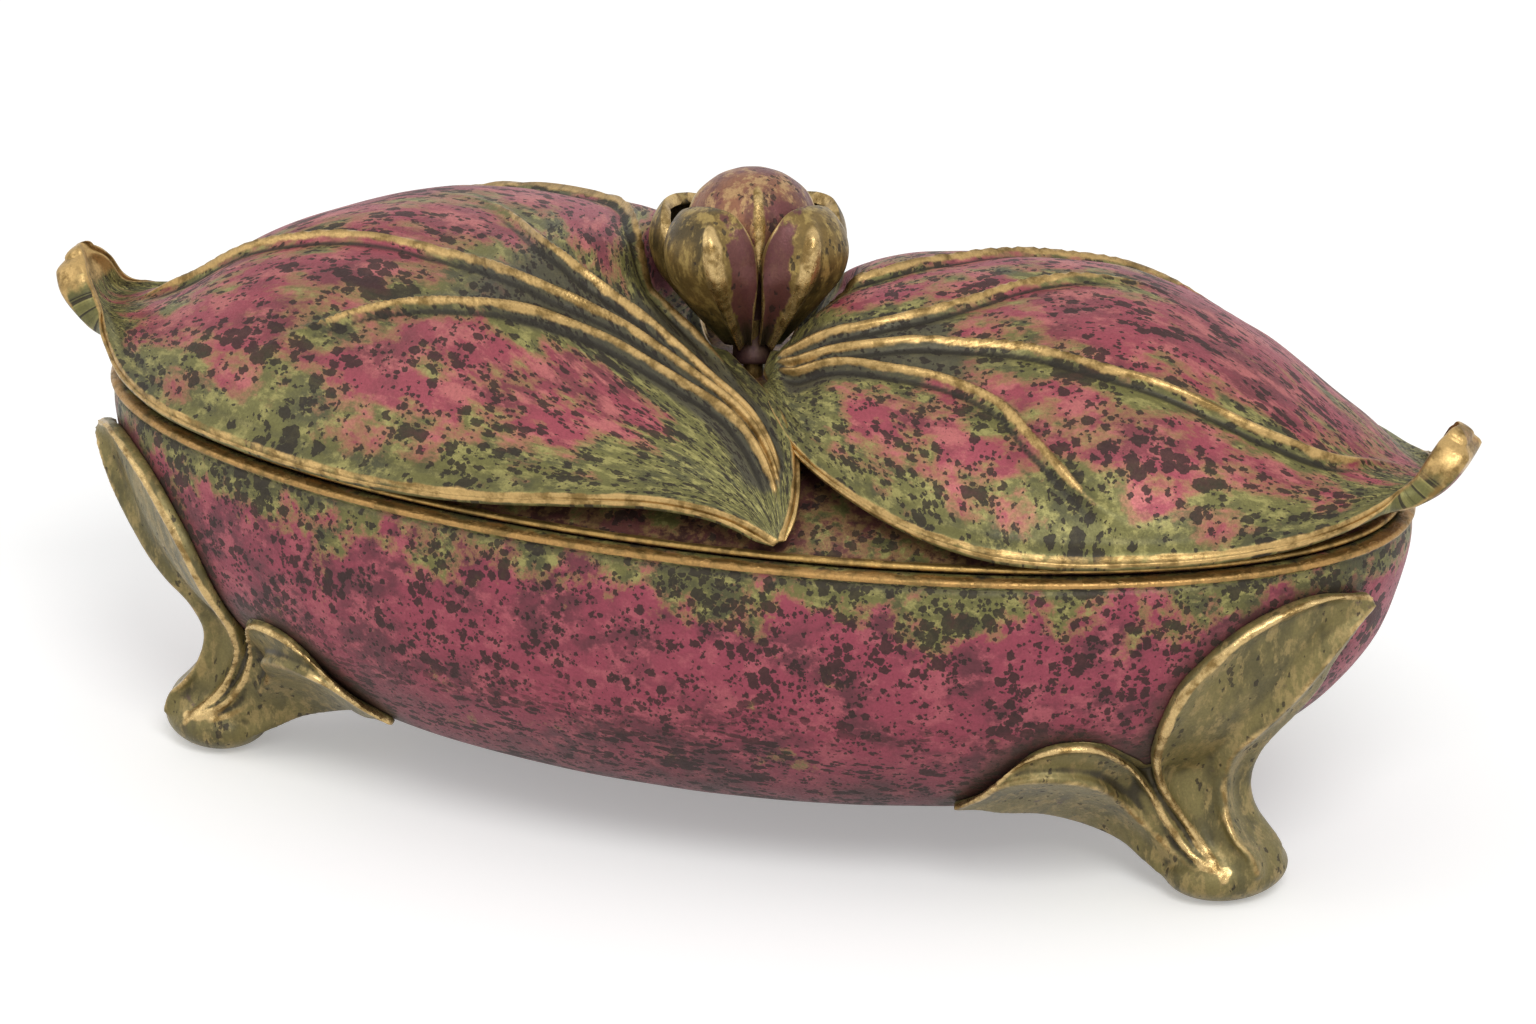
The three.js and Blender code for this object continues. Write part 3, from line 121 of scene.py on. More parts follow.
def put(tree, kind, inputs=None, **settings):
    """A node in the tree, with its settings made and its sockets filled or linked."""
    node = tree.nodes.new("ShaderNode" + kind)
    for key, value in settings.items():
        setattr(node, key, value)
    for key, value in (inputs or {}).items():
        if isinstance(value, bpy.types.NodeSocket):
            tree.links.new(value, node.inputs[key])
        else:
            node.inputs[key].default_value = value
    return node


def calc(tree, operation, *values):
    """One step of arithmetic on numbers, as an output socket."""
    return put(tree, "Math", dict(enumerate(values)), operation=operation).outputs[0]


def fade(tree, value, low, high, to_low=0.0, to_high=1.0):
    """The value read as a smooth step from to_low at low to to_high at high."""
    sockets = {"Value": value, "From Min": low, "From Max": high, "To Min": to_low, "To Max": to_high}
    return put(tree, "MapRange", sockets, interpolation_type="SMOOTHSTEP").outputs["Result"]


def tint(tree, share, first, second):
    """Two colours mixed by a share, as an output socket."""
    return put(tree, "Mix", {0: share, 6: first, 7: second}, data_type="RGBA").outputs[2]


def lay(tree, mask, strength, under, over):
    """One colour laid over another where a mask is high, no stronger than the strength."""
    return tint(tree, calc(tree, "MULTIPLY", mask, strength), under, over)


def noise_at(tree, place, scale, detail, roughness=0.5):
    """The height of a noise at a place, as an output socket."""
    sockets = {"Vector": place, "Scale": scale, "Detail": detail, "Roughness": roughness}
    return put(tree, "TexNoise", sockets).outputs[0]


def seen_directly(tree):
    """1 for rays from the camera, a reflection or a clear piece, and 0 for bounced light."""
    path = put(tree, "LightPath").outputs
    seen = calc(tree, "MAXIMUM", path["Is Camera Ray"], path["Is Glossy Ray"])
    return calc(tree, "MAXIMUM", seen, path["Is Transmission Ray"])


def ink(red, green, blue):
    """A screen colour from 0 to 255 as the linear colour that a shader wants."""
    straight = []
    for channel in (red, green, blue):
        level = channel / 255
        straight.append(level / 12.92 if level < 0.04045 else ((level + 0.055) / 1.055) ** 2.4)
    return (*straight, 1.0)


print("A rose pink as linear colour:", [round(c, 3) for c in ink(175, 80, 98)])

# %% [markdown]
# ## Shared effects
# Four effects turn up on nearly every metal piece: cloudy colour, dark etched
# blots, fine casting grain, and brass where a ridge is rubbed. Each is built
# once as a node group with named sockets and placed in each finish with its own
# values. The pattern sizes are in millimetres, because the coordinates that go
# in are millimetres too.

# %% A way to start a node group


def start_group(name, inputs, outputs):
    """An empty node group with named sockets: the tree, its inputs and its output sockets."""
    tree = bpy.data.node_groups.new(name, "ShaderNodeTree")
    kinds = {"vector": "NodeSocketVector", "value": "NodeSocketFloat", "colour": "NodeSocketColor"}
    for label, kind, default in inputs:
        socket = tree.interface.new_socket(label, in_out="INPUT", socket_type=kinds[kind])
        if default is not None:
            socket.default_value = default
    for label, kind in outputs:
        tree.interface.new_socket(label, in_out="OUTPUT", socket_type=kinds[kind])
    return tree, tree.nodes.new("NodeGroupInput").outputs, tree.nodes.new("NodeGroupOutput").inputs


# %% The cloudy colour group
clouds, given, result = start_group(
    "cloudy_colour",
    [
        ("Place", "vector", None),
        ("Size", "value", 14.0),
        ("Low", "colour", (0.1, 0.1, 0.1, 1)),
        ("Middle", "colour", (0.3, 0.3, 0.3, 1)),
        ("High", "colour", (0.6, 0.6, 0.6, 1)),
    ],
    [("Colour", "colour"), ("Share", "value")],
)
frequency = calc(clouds, "DIVIDE", 1.0, given["Size"])
broad = noise_at(clouds, given["Place"], frequency, 6.0, 0.6)
finer = noise_at(clouds, given["Place"], calc(clouds, "MULTIPLY", frequency, 2.7), 6.0, 0.68)
low_middle = tint(clouds, fade(clouds, broad, 0.38, 0.56), given["Low"], given["Middle"])
mottled = tint(clouds, fade(clouds, finer, 0.48, 0.62), low_middle, given["High"])
clouds.links.new(mottled, result["Colour"])
clouds.links.new(broad, result["Share"])
print("Built the group", clouds.name)

# %% [markdown]
# The etched blots are round-cornered patches 1 to 3 mm wide that merge where
# they crowd. A Voronoi texture gives such cells. Warping its coordinates with a
# noise roughens their edges, and a second, broader noise decides where the
# cells fill up and join.

# %% The etched blots group
blots, given, result = start_group(
    "etched_blots",
    [("Place", "vector", None), ("Size", "value", 2.4), ("Cover", "value", 0.5)],
    [("Mask", "value")],
)
frequency = calc(blots, "DIVIDE", 1.0, given["Size"])
warp_scale = calc(blots, "MULTIPLY", frequency, 2.2)
warp = put(blots, "TexNoise", {"Vector": given["Place"], "Scale": warp_scale, "Detail": 3.0})
centred = put(blots, "VectorMath", {0: warp.outputs["Color"], 1: (0.5, 0.5, 0.5)}, operation="SUBTRACT")
push_by = calc(blots, "MULTIPLY", given["Size"], 0.9)
push = put(blots, "VectorMath", {0: centred.outputs[0], "Scale": push_by}, operation="SCALE")
warped = put(blots, "VectorMath", {0: given["Place"], 1: push.outputs[0]}, operation="ADD")
cells = put(blots, "TexVoronoi", {"Vector": warped.outputs[0], "Scale": frequency})
own = put(blots, "SeparateColor", {0: cells.outputs["Color"]})
crowd = noise_at(blots, given["Place"], calc(blots, "MULTIPLY", frequency, 0.24), 2.0)
reach = calc(blots, "MULTIPLY_ADD", own.outputs[0], 0.4, given["Cover"])
reach = calc(blots, "MULTIPLY_ADD", crowd, 1.5, reach)
gap = calc(blots, "SUBTRACT", calc(blots, "SUBTRACT", reach, 1.12), cells.outputs["Distance"])
blots.links.new(fade(blots, gap, -0.035, 0.035), result["Mask"])
print("Built the group", blots.name)

# %% [markdown]
# Casting grain is too fine to see as a pattern, but it breaks up highlights.
# The group gives a height for a Bump node and a speckle for the colour.

# %% The casting grain and rubbed ridge groups
grain, given, result = start_group(
    "casting_grain",
    [("Place", "vector", None), ("Size", "value", 0.5)],
    [("Height", "value"), ("Speckle", "value")],
)
frequency = calc(grain, "DIVIDE", 1.0, given["Size"])
fine = noise_at(grain, given["Place"], frequency, 5.0, 0.7)
uneven = noise_at(grain, given["Place"], calc(grain, "MULTIPLY", frequency, 0.16), 3.0)
grain.links.new(calc(grain, "MULTIPLY_ADD", uneven, 2.2, fine), result["Height"])
grain.links.new(fade(grain, fine, 0.4, 0.62), result["Speckle"])

rubbed, given, result = start_group(
    "rubbed_ridge",
    [("Place", "vector", None), ("Ridge", "value", 0.0), ("Wear", "value", 0.5)],
    [("Mask", "value")],
)
patchy = noise_at(rubbed, given["Place"], 0.22, 4.0, 0.6)
level = calc(rubbed, "MULTIPLY_ADD", patchy, 0.9, given["Ridge"])
level = calc(rubbed, "ADD", level, given["Wear"])
rubbed.links.new(fade(rubbed, level, 1.1, 1.38), result["Mask"])
print("Built the groups", grain.name, "and", rubbed.name)

# %% [markdown]
# ## A finish from its parts
# A finish is a stack, as the real patina is, of cloudy ground colour, blots etched
# into it and brass on the rubbed ridges, with painted shade laid into the
# creases. Each layer changes the colour, and the same masks change roughness
# and height, so a blot is dull and sunk while a rubbed ridge is bright.

# %% Helpers for the metal finishes


def start_finish(name):
    """A material with its Principled BSDF and its object coordinates in millimetres."""
    material = bpy.data.materials.new(name)
    material.use_nodes = True
    tree = material.node_tree
    shader = tree.nodes["Principled BSDF"]
    coordinates = put(tree, "TexCoord")
    place = put(tree, "VectorMath", {0: coordinates.outputs["Object"], "Scale": 1000.0}, operation="SCALE")
    return material, tree, shader, place.outputs[0]


def mark(tree, name):
    """A mark that the mesh carries, such as how far a point is on a ridge."""
    return put(tree, "Attribute", attribute_name=name, attribute_type="GEOMETRY").outputs["Fac"]


def stretched(tree, place, scale):
    """The place scaled along each axis, so that a pattern is drawn out where the scale is low."""
    return put(tree, "Mapping", {"Vector": place, "Scale": scale}).outputs[0]


def group(tree, kind, **inputs):
    """A shared group placed in a tree with its named inputs filled: its outputs."""
    labels = {label.replace("_", " "): value for label, value in inputs.items()}
    return put(tree, "Group", labels, node_tree=kind).outputs


def cloudy(tree, place, size, *tones):
    """Cloudy colour in three screen tones, from the darkest to the lightest."""
    low, middle, high = (ink(*tone) for tone in tones)
    return group(tree, clouds, Place=place, Size=size, Low=low, Middle=middle, High=high)


def blotted(tree, place, size, cover):
    """The mask of etched blots of a size in millimetres."""
    return group(tree, blots, Place=place, Size=size, Cover=cover)["Mask"]


def finish_metal(tree, shader, place, colour, blot, rub, grain_size=0.45, roughness=0.44):
    """The layers that every metal finish shares: its gloss, its grain and its bump."""
    texture = group(tree, grain, Place=place, Size=grain_size)
    speckled = lay(tree, texture["Speckle"], 0.16, colour, (0.02, 0.015, 0.012, 1))
    tree.links.new(speckled, shader.inputs["Base Color"])
    dull = calc(tree, "MULTIPLY_ADD", blot, 0.14, roughness)
    dull = calc(tree, "MULTIPLY_ADD", rub, -0.13, dull)
    dull = calc(tree, "MULTIPLY_ADD", texture["Speckle"], 0.1, dull)
    tree.links.new(dull, shader.inputs["Roughness"])
    tree.links.new(calc(tree, "MULTIPLY_ADD", rub, 0.45, 0.4), shader.inputs["Metallic"])
    relief = calc(tree, "MULTIPLY_ADD", blot, -1.1, texture["Height"])
    bump = put(tree, "Bump", {"Height": relief, "Strength": 0.5, "Distance": 0.00012})
    tree.links.new(bump.outputs[0], shader.inputs["Normal"])
    shader.inputs["Specular IOR Level"].default_value = 0.35
    shader.inputs["Coat Weight"].default_value = 0.06
    shader.inputs["Coat Roughness"].default_value = 0.3


def brass_over(tree, place, colour, ridge, wear, gold):
    """Rubbed brass laid over a colour where the ridge mark is high: the colour and the mask."""
    rub = group(tree, rubbed, Place=place, Ridge=ridge, Wear=wear)["Mask"]
    shade = noise_at(tree, place, 0.3, 6.0, 0.62)
    brass = tint(tree, fade(tree, shade, 0.36, 0.56), BRASS_DULL, gold)
    return tint(tree, rub, colour, brass), rub


BLOT_BROWN = ink(46, 38, 34)
# The dark colour of painted shade on the leaves.
PAINTED_SHADE_DARK = ink(44, 40, 32)
BRASS_GOLD = ink(198, 164, 106)
BRASS_DULL = ink(134, 108, 62)

# %% [markdown]
# The leaves are raspberry pink in the middle of each panel. Streaks of olive
# green and ochre run in from the margins, from the base and along the veins,
# and the narrow valleys between the veins are charcoal. Shade is painted in
# too: beside each vein, in the groove inside the margin, on the margin's roll
# and underneath. The mesh carries the marks that say where: "margin" rises
# towards the leaf's edge, "base" towards its stem, "valley" near the veins,
# "ridge" on veins and rims, and a mark for painted shade beside them. It also
# carries "flow", a place in millimetres along and across the leaf, so that
# streaks and blots follow the leaf's own growth.

# %% The leaf finish


def moss_over(tree, place, colour, greening):
    """Olive with an ochre fringe laid over a colour where greening passes its threshold."""
    olive = cloudy(tree, place, 6.0, (84, 82, 54), (116, 112, 64), (160, 152, 92))
    fringe = lay(tree, fade(tree, greening, 0.5, 0.58), 0.75, colour, ink(164, 126, 86))
    return tint(tree, fade(tree, greening, 0.55, 0.63), fringe, olive["Colour"])


def leaf_finish(name, green_share):
    """A leaf's finish. The share moves its balance from pink towards green."""
    material, tree, shader, place = start_finish(name)
    flow = put(tree, "Attribute", attribute_name="flow", attribute_type="GEOMETRY").outputs["Vector"]
    streaks = stretched(tree, flow, (0.55, 1.0, 1.0))
    rose = cloudy(tree, streaks, 11.0, (124, 62, 68), (160, 74, 86), (188, 108, 106))
    wander = noise_at(tree, streaks, 0.11, 7.0, 0.66)
    greening = calc(tree, "MULTIPLY_ADD", mark(tree, "margin"), 0.3, wander)
    greening = calc(tree, "MULTIPLY_ADD", mark(tree, "base"), 0.17, greening)
    greening = calc(tree, "MULTIPLY_ADD", mark(tree, "valley"), 0.15, greening)
    colour = moss_over(tree, streaks, rose["Colour"], calc(tree, "ADD", greening, green_share))
    charcoal = fade(tree, calc(tree, "MULTIPLY_ADD", wander, 0.9, mark(tree, "valley")), 1.38, 1.78)
    colour = lay(tree, charcoal, 0.85, colour, ink(76, 72, 60))
    drawn_out = stretched(tree, flow, (0.7, 1.0, 1.0))
    pits = blotted(tree, drawn_out, 1.7, 0.46)
    specks = blotted(tree, drawn_out, 0.8, 0.36)
    blot = calc(tree, "MAXIMUM", pits, specks)
    colour = lay(tree, blot, 0.86, colour, BLOT_BROWN)
    # Painted shade beside the veins, in the groove inside the margin, on the rolls' sides and underneath.
    painted_shade = fade(tree, calc(tree, "MULTIPLY_ADD", wander, 0.5, mark(tree, "painted_shade")), 0.55, 1.1)
    colour = lay(tree, painted_shade, 0.9, colour, PAINTED_SHADE_DARK)
    colour, rub = brass_over(tree, place, colour, mark(tree, "ridge"), 0.32, BRASS_GOLD)
    blot = calc(tree, "MULTIPLY", blot, calc(tree, "SUBTRACT", 1.0, rub))
    finish_metal(tree, shader, place, colour, blot, rub)
    return material


left_leaf_finish = leaf_finish("left_leaf_patina", -0.04)
right_leaf_finish = leaf_finish("right_leaf_patina", -0.045)
print("Made", left_leaf_finish.name, "and", right_leaf_finish.name)

# %% [markdown]
# The bowl is the same pink, with its blots in loose clusters and drawn out
# sideways lower down. Under the rim runs a mottled olive band with a ragged
# lower edge, and the colour sinks to brown at the foot of the bowl. Height
# alone tells these zones apart, so they come from the Z coordinate.

# %% The bowl finish
bowl_finish, tree, shader, place = start_finish("bowl_patina")
rose_place = stretched(tree, place, (1.0, 1.0, 1.3))
rose = cloudy(tree, rose_place, 13.0, (104, 54, 62), (156, 70, 86), (176, 90, 100))
height = put(tree, "SeparateXYZ", {0: place}).outputs["Z"]
ragged = noise_at(tree, place, 0.13, 8.0, 0.7)
band = calc(tree, "MULTIPLY", calc(tree, "SUBTRACT", height, 51.0), 0.022)
band = calc(tree, "MAXIMUM", band, -0.1)
moss_place = stretched(tree, place, (0.7, 0.7, 1.0))
colour = moss_over(tree, moss_place, rose["Colour"], calc(tree, "ADD", ragged, band))
broad = noise_at(tree, place, 0.06, 4.0)
sunk = fade(tree, calc(tree, "MULTIPLY_ADD", broad, -24.0, height), 0.0, 22.0, 1.0, 0.0)
colour = lay(tree, sunk, 0.7, colour, ink(74, 44, 42))
round_blots = blotted(tree, place, 1.9, 0.5)
dashes = blotted(tree, stretched(tree, place, (0.62, 0.62, 1.6)), 1.5, 0.5)
specks = blotted(tree, place, 0.85, 0.36)
lower = fade(tree, calc(tree, "MULTIPLY_ADD", broad, 20.0, height), 36.0, 48.0)
blot = calc(tree, "MAXIMUM", tint(tree, lower, dashes, round_blots), specks)
colour = lay(tree, blot, 0.86, colour, BLOT_BROWN)
# Painted shade: a dark line under the rim's bead and a dark halo on the bowl beside each foot.
shaded = fade(tree, calc(tree, "MULTIPLY_ADD", ragged, 0.6, mark(tree, "painted_shade")), 0.5, 1.1)
colour = lay(tree, shaded, 0.8, colour, ink(58, 52, 42))
colour, rub = brass_over(tree, place, colour, mark(tree, "ridge"), 0.24, ink(180, 140, 84))
finish_metal(tree, shader, place, colour, blot, rub)
print("Made", bowl_finish.name)

# %% [markdown]
# The lid plate shows in the gap between the leaves. It is darker than they
# are: maroon brown with olive and ochre clouds.

# %% The lid plate finish
plate_finish, tree, shader, place = start_finish("plate_patina")
brown = cloudy(tree, place, 8.0, (74, 48, 42), (110, 66, 62), (132, 104, 68))
ragged = noise_at(tree, place, 0.16, 7.0, 0.7)
colour = moss_over(tree, place, brown["Colour"], calc(tree, "ADD", ragged, 0.03))
blot = blotted(tree, place, 2.0, 0.42)
colour = lay(tree, blot, 0.8, colour, BLOT_BROWN)
colour, rub = brass_over(tree, place, colour, mark(tree, "ridge"), 0.22, ink(186, 150, 88))
finish_metal(tree, shader, place, colour, blot, rub)
print("Made", plate_finish.name)

# %% [markdown]
# The feet, the bud and its sepals are handled most, so the brass shows through
# all over: olive and gold clouds, dark streaks and polished ridges, with painted
# shade in the hollows. The mark "margin" tells how much plum is left: on a sepal
# it is the narrow facet beside the keel, and the bud's globe keeps more of it.

# %% The olive bronze finishes


def olive_finish(name, tones, painted_hollow_shade, plum, rose_share, wear):
    """A handled finish: three ground tones, the painted shade of its hollows, its plum and its wear."""
    material, tree, shader, place = start_finish(name)
    ground = cloudy(tree, stretched(tree, place, (1.0, 1.0, 0.4)), 5.5, *tones)
    wander = noise_at(tree, place, 0.16, 6.0, 0.66)
    rosy = calc(tree, "MULTIPLY_ADD", mark(tree, "margin"), 0.4, wander)
    rosy = fade(tree, calc(tree, "ADD", rosy, rose_share), 0.6, 0.68)
    colour = lay(tree, rosy, 0.9, ground["Colour"], plum)
    streaks = blotted(tree, stretched(tree, place, (1.0, 1.0, 0.55)), 1.2, 0.24)
    colour = lay(tree, streaks, 0.75, colour, BLOT_BROWN)
    # Painted shade in the hollows.
    hollow = fade(tree, calc(tree, "MULTIPLY_ADD", wander, 0.8, mark(tree, "painted_shade")), 0.62, 1.3)
    colour = lay(tree, hollow, 0.88, colour, painted_hollow_shade)
    colour, rub = brass_over(tree, place, colour, mark(tree, "ridge"), wear, ink(208, 178, 122))
    finish_metal(tree, shader, place, colour, streaks, rub, roughness=0.38)
    return material


FOOT_TONES = ((100, 92, 58), (130, 118, 72), (160, 140, 90))
SEPAL_TONES = ((80, 66, 36), (128, 104, 56), (172, 146, 84))
GLOBE_TONES = ((112, 72, 66), (152, 104, 78), (188, 150, 104))
foot_finish = olive_finish("foot_bronze", FOOT_TONES, ink(46, 40, 28), ink(104, 84, 74), -0.04, 0.3)
sepal_finish = olive_finish("sepal_bronze", SEPAL_TONES, ink(46, 46, 30), ink(104, 58, 60), -0.06, 0.3)
bud_finish = olive_finish("bud_bronze", GLOBE_TONES, ink(58, 38, 42), ink(116, 66, 66), 0.08, 0.24)
print("Made", foot_finish.name, sepal_finish.name, bud_finish.name)

# %% [markdown]
# Hinge, screws and nut are plain brass that has only darkened a little.

# %% The brass finish
brass_finish, tree, shader, place = start_finish("rubbed_brass")
gold = cloudy(tree, place, 4.0, (98, 80, 48), (142, 116, 70), (176, 148, 94))
finish_metal(tree, shader, place, gold["Colour"], gold["Share"], 0.9, grain_size=0.35, roughness=0.38)
print("Made", brass_finish.name)

# %% [markdown]
# Velvet is dark where one looks straight into its pile and light where the pile
# stands sideways to the eye. The sheen level of the shader does just that. A
# fine noise makes the pile, and a broad one the strokes of a hand over it.

# %% The velvet finish
velvet_finish, tree, shader, place = start_finish("plum_velvet")
pile = noise_at(tree, place, 3.2, 4.0, 0.75)
strokes = noise_at(tree, stretched(tree, place, (0.5, 1.0, 1.0)), 0.09, 3.0)
colour = tint(tree, fade(tree, strokes, 0.38, 0.62), ink(70, 20, 34), ink(104, 34, 52))
colour = lay(tree, fade(tree, pile, 0.35, 0.65), 0.35, colour, ink(44, 12, 22))
tree.links.new(colour, shader.inputs["Base Color"])
tree.links.new(fade(tree, pile, 0.3, 0.7, 0.8, 1.0), shader.inputs["Roughness"])
bump = put(tree, "Bump", {"Height": pile, "Strength": 0.6, "Distance": 0.00025})
tree.links.new(bump.outputs[0], shader.inputs["Normal"])
shader.inputs["Sheen Weight"].default_value = 0.6
shader.inputs["Sheen Roughness"].default_value = 0.4
shader.inputs["Sheen Tint"].default_value = ink(214, 120, 140)
print("Made", velvet_finish.name)

# %% [markdown]
# ## One helper for every cast shape
# Leaves, blades, bowl and bud are all lofts: a closed line that changes as it
# moves along. In the editor one would extrude a circle again and again and
# scale each new ring. The helper does that. It starts from a circle, extrudes
# its edges ring by ring, and asks a function where each point belongs. Each
# point also keeps marks, which the finishes read.

# %% The loft helper
MARKS = ("ridge", "painted_shade", "margin", "base", "valley")


def loft(rings, spokes, place, cap_low=True, cap_high=True):
    """A circle extruded ring by ring. place(ring, spoke) gives a point and its marks."""
    shape = bmesh.new()
    layers = {name: shape.verts.layers.float.new(name) for name in MARKS}
    layers["flow"] = shape.verts.layers.float_vector.new("flow")
    order = shape.verts.layers.int.new("spoke")
    ring = bmesh.ops.create_circle(shape, cap_ends=False, segments=spokes, radius=1)["verts"]
    for spoke, vert in enumerate(ring):
        vert[order] = spoke
    edges = list(shape.edges)
    for step in range(rings):
        if step:
            made = bmesh.ops.extrude_edge_only(shape, edges=edges)["geom"]
            ring = [item for item in made if isinstance(item, bmesh.types.BMVert)]
            edges = [item for item in made if isinstance(item, bmesh.types.BMEdge)]
            edges = [edge for edge in edges if all(vert in set(ring) for vert in edge.verts)]
        for vert in ring:
            point, marks = place(step, vert[order])
            vert.co = spot(*point)
            for name, value in marks.items():
                vert[layers[name]] = value
    close_ends(shape, spokes, cap_low, cap_high)
    bmesh.ops.recalc_face_normals(shape, faces=shape.faces)
    return shape


def close_ends(shape, spokes, cap_low, cap_high):
    """A pole of triangles over the first and the last ring."""
    shape.verts.ensure_lookup_table()
    ends = []
    if cap_low:
        ends.append(shape.verts[:spokes])
    if cap_high:
        ends.append(shape.verts[-spokes:])
    for verts in ends:
        members = set(verts)
        edges = [edge for edge in shape.edges if edge.verts[0] in members and edge.verts[1] in members]
        face = bmesh.ops.contextual_create(shape, geom=edges)["faces"]
        bmesh.ops.poke(shape, faces=face)


def show(name, shape, finish, body, slot, *nodes):
    """Turns a finished shape into an object that rides on a body and replaces its solids."""
    mesh = bpy.data.meshes.new(name)
    shape.to_mesh(mesh)
    shape.free()
    mesh.polygons.foreach_set("use_smooth", [True] * len(mesh.polygons))
    mesh.materials.append(finish)
    piece = bpy.data.objects.new(name, mesh)
    bpy.context.collection.objects.link(piece)
    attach(piece, body)
    if nodes:
        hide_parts(*nodes)
    print(name, "has", len(mesh.polygons), "faces")
    return piece


# %% [markdown]
# The outlines are given as a few points each, and a smooth curve runs through
# them. A Catmull-Rom curve passes through every point, so the points can be
# read off the real thing.

# %% Smooth curves and steps


def along(points, share):
    """A point on the smooth curve through the given points."""
    spans = len(points) - 1
    reach = min(max(share, 0.0), 1.0) * spans
    k = min(int(reach), spans - 1)
    t = reach - k
    one, two = points[k], points[k + 1]
    before = points[k - 1] if k else one * 2 - two
    after = points[k + 2] if k + 2 <= spans else two * 2 - one
    leave = (two - before) / 2
    arrive = (after - one) / 2
    return (
        one
        + leave * t
        + (two * 3 - one * 3 - leave * 2 - arrive) * t**2
        + (one * 2 - two * 2 + leave + arrive) * t**3
    )


def rise(value, low, high):
    """A smooth step from 0 at low to 1 at high."""
    share = min(max((value - low) / (high - low), 0.0), 1.0)
    return share * share * (3 - 2 * share)


def hump(distance, width):
    """A rounded hump, 1 in the middle and gone at about twice its width."""
    return math.exp(-((distance / width) ** 2))


# %% [markdown]
# ## The bowl
# The bowl is oval, and its sides swell and then draw in to a small flat floor.
# A turned bowl could be spun, but this one is fuller along its sides than at its
# ends, so the loft helper takes a half length and a half width at each height.

# %% The bowl's outline
HALF_LENGTH = 110.0
HALF_WIDTH = 53.2
RIM = 60.0
FLOOR = 12.0
WALL = 2.6
BOWL_SIDE = [
    (-44, -16.5, 0),
    (-28.5, -9.5, 0.08),
    (-19.6, -4.2, 0.21),
    (-10.8, 0.2, 0.375),
    (-5, 2.1, 0.54),
    (-1.9, 2.5, 0.71),
    (0, 1.7, 0.875),
    (0, 0, 1),
]
side_points = [Vector(row) for row in BOWL_SIDE]
side_table = [along(side_points, i / 400) for i in range(401)]


def bowl_at(z):
    """Half length and half width of the bowl's outside at a height."""
    level = min(max((z - FLOOR) / (RIM - FLOOR), 0.0), 1.0)
    for low, high in zip(side_table, side_table[1:]):
        if high.z >= level:
            share = (level - low.z) / max(high.z - low.z, 1e-9)
            length = HALF_LENGTH + low.x + (high.x - low.x) * share
            return length, HALF_WIDTH + low.y + (high.y - low.y) * share
    return HALF_LENGTH, HALF_WIDTH


def inside_at(z):
    """Half length and half width of the bowl's inside, square to its wall, at a height."""
    length, width = bowl_at(z)
    below_length, below_width = bowl_at(max(z - 1, FLOOR))
    thick_end, thick_side = math.hypot(1, length - below_length), math.hypot(1, width - below_width)
    return length - WALL * thick_end, width - WALL * thick_side


print("The bowl is", [round(2 * size, 1) for size in bowl_at(40)], "mm at 40 mm high")

# %% Loft the bowl
BOWL_STEPS = 46
BOWL_SPOKES = 192
INNER_FLOOR = 17.0
RIM_SHADOW = 57.8  # height of the dark line under the rim's bead
bowl_rings = []
for step in range(BOWL_STEPS + 1):
    low = side_table[round(400 * step / BOWL_STEPS)]
    z = FLOOR + low.z * (RIM - 1.9 - FLOOR)
    length, width = bowl_at(z)
    bowl_rings.append((length, width, z, 0.0))
RIM_BEAD = [
    (0.1, 58.2, 0),
    (0.5, 58.6, 0.3),
    (0.75, 59.0, 0.9),
    (0.65, 59.4, 1),
    (0.25, 59.7, 0.9),
    (-0.6, 59.95, 0.6),
    (-1.5, 60, 0.4),
]
for out, z, ridge in RIM_BEAD:
    bowl_rings.append((HALF_LENGTH + out, HALF_WIDTH + out, z, ridge))
for step in range(16):
    z = RIM - 0.3 - (RIM - INNER_FLOOR) * (step / 15) ** 0.8
    bowl_rings.append((*inside_at(z), max(z, INNER_FLOOR), 0.0))


def bowl_place(ring, spoke):
    """A point of the bowl, with the faint dents of a cast and chased surface."""
    length, width, z, ridge = bowl_rings[ring]
    angle = 2 * math.pi * spoke / BOWL_SPOKES
    x, y = length * math.cos(angle), width * math.sin(angle)
    dent = 0.22 * noise.noise(Vector((x, y, z)) / 11) if ring <= BOWL_STEPS else 0.0
    # Painted shadow under the rim's bead.
    painted_shade = 0.7 * hump(z - RIM_SHADOW, 0.7) if ring <= BOWL_STEPS + 2 else 0.0
    return (x * (1 + dent / length), y * (1 + dent / width), z), {"ridge": ridge, "painted_shade": painted_shade}


bowl_shape = loft(len(bowl_rings), BOWL_SPOKES, bowl_place)
bowl = show("bronze_bowl", bowl_shape, bowl_finish, "base", "patinated_bronze", "bowl")

# %% [markdown]
# ## The lid plate
# A shallow dome closes the bowl. Its flange hangs inside the rim, and a thin
# bead runs just inside its edge.

# %% Loft the lid plate
PLATE_TOP = 61.1
PLATE_RISE = 13.6
PLATE_HALF_LENGTH = 108.6
PLATE_HALF_WIDTH = 51.8
PLATE_WALL = 2
PLATE_SPOKES = 160


def plate_top(x, y):
    """Height of the lid plate's top over a point."""
    return PLATE_TOP + PLATE_RISE * max(0.0, 1 - (x / PLATE_HALF_LENGTH) ** 2 - (y / PLATE_HALF_WIDTH) ** 2)


def dome_ring(share, top):
    """A ring of the dome at a share of its size."""
    return PLATE_HALF_LENGTH * share, PLATE_HALF_WIDTH * share, top + PLATE_RISE * (1 - share**2), 0


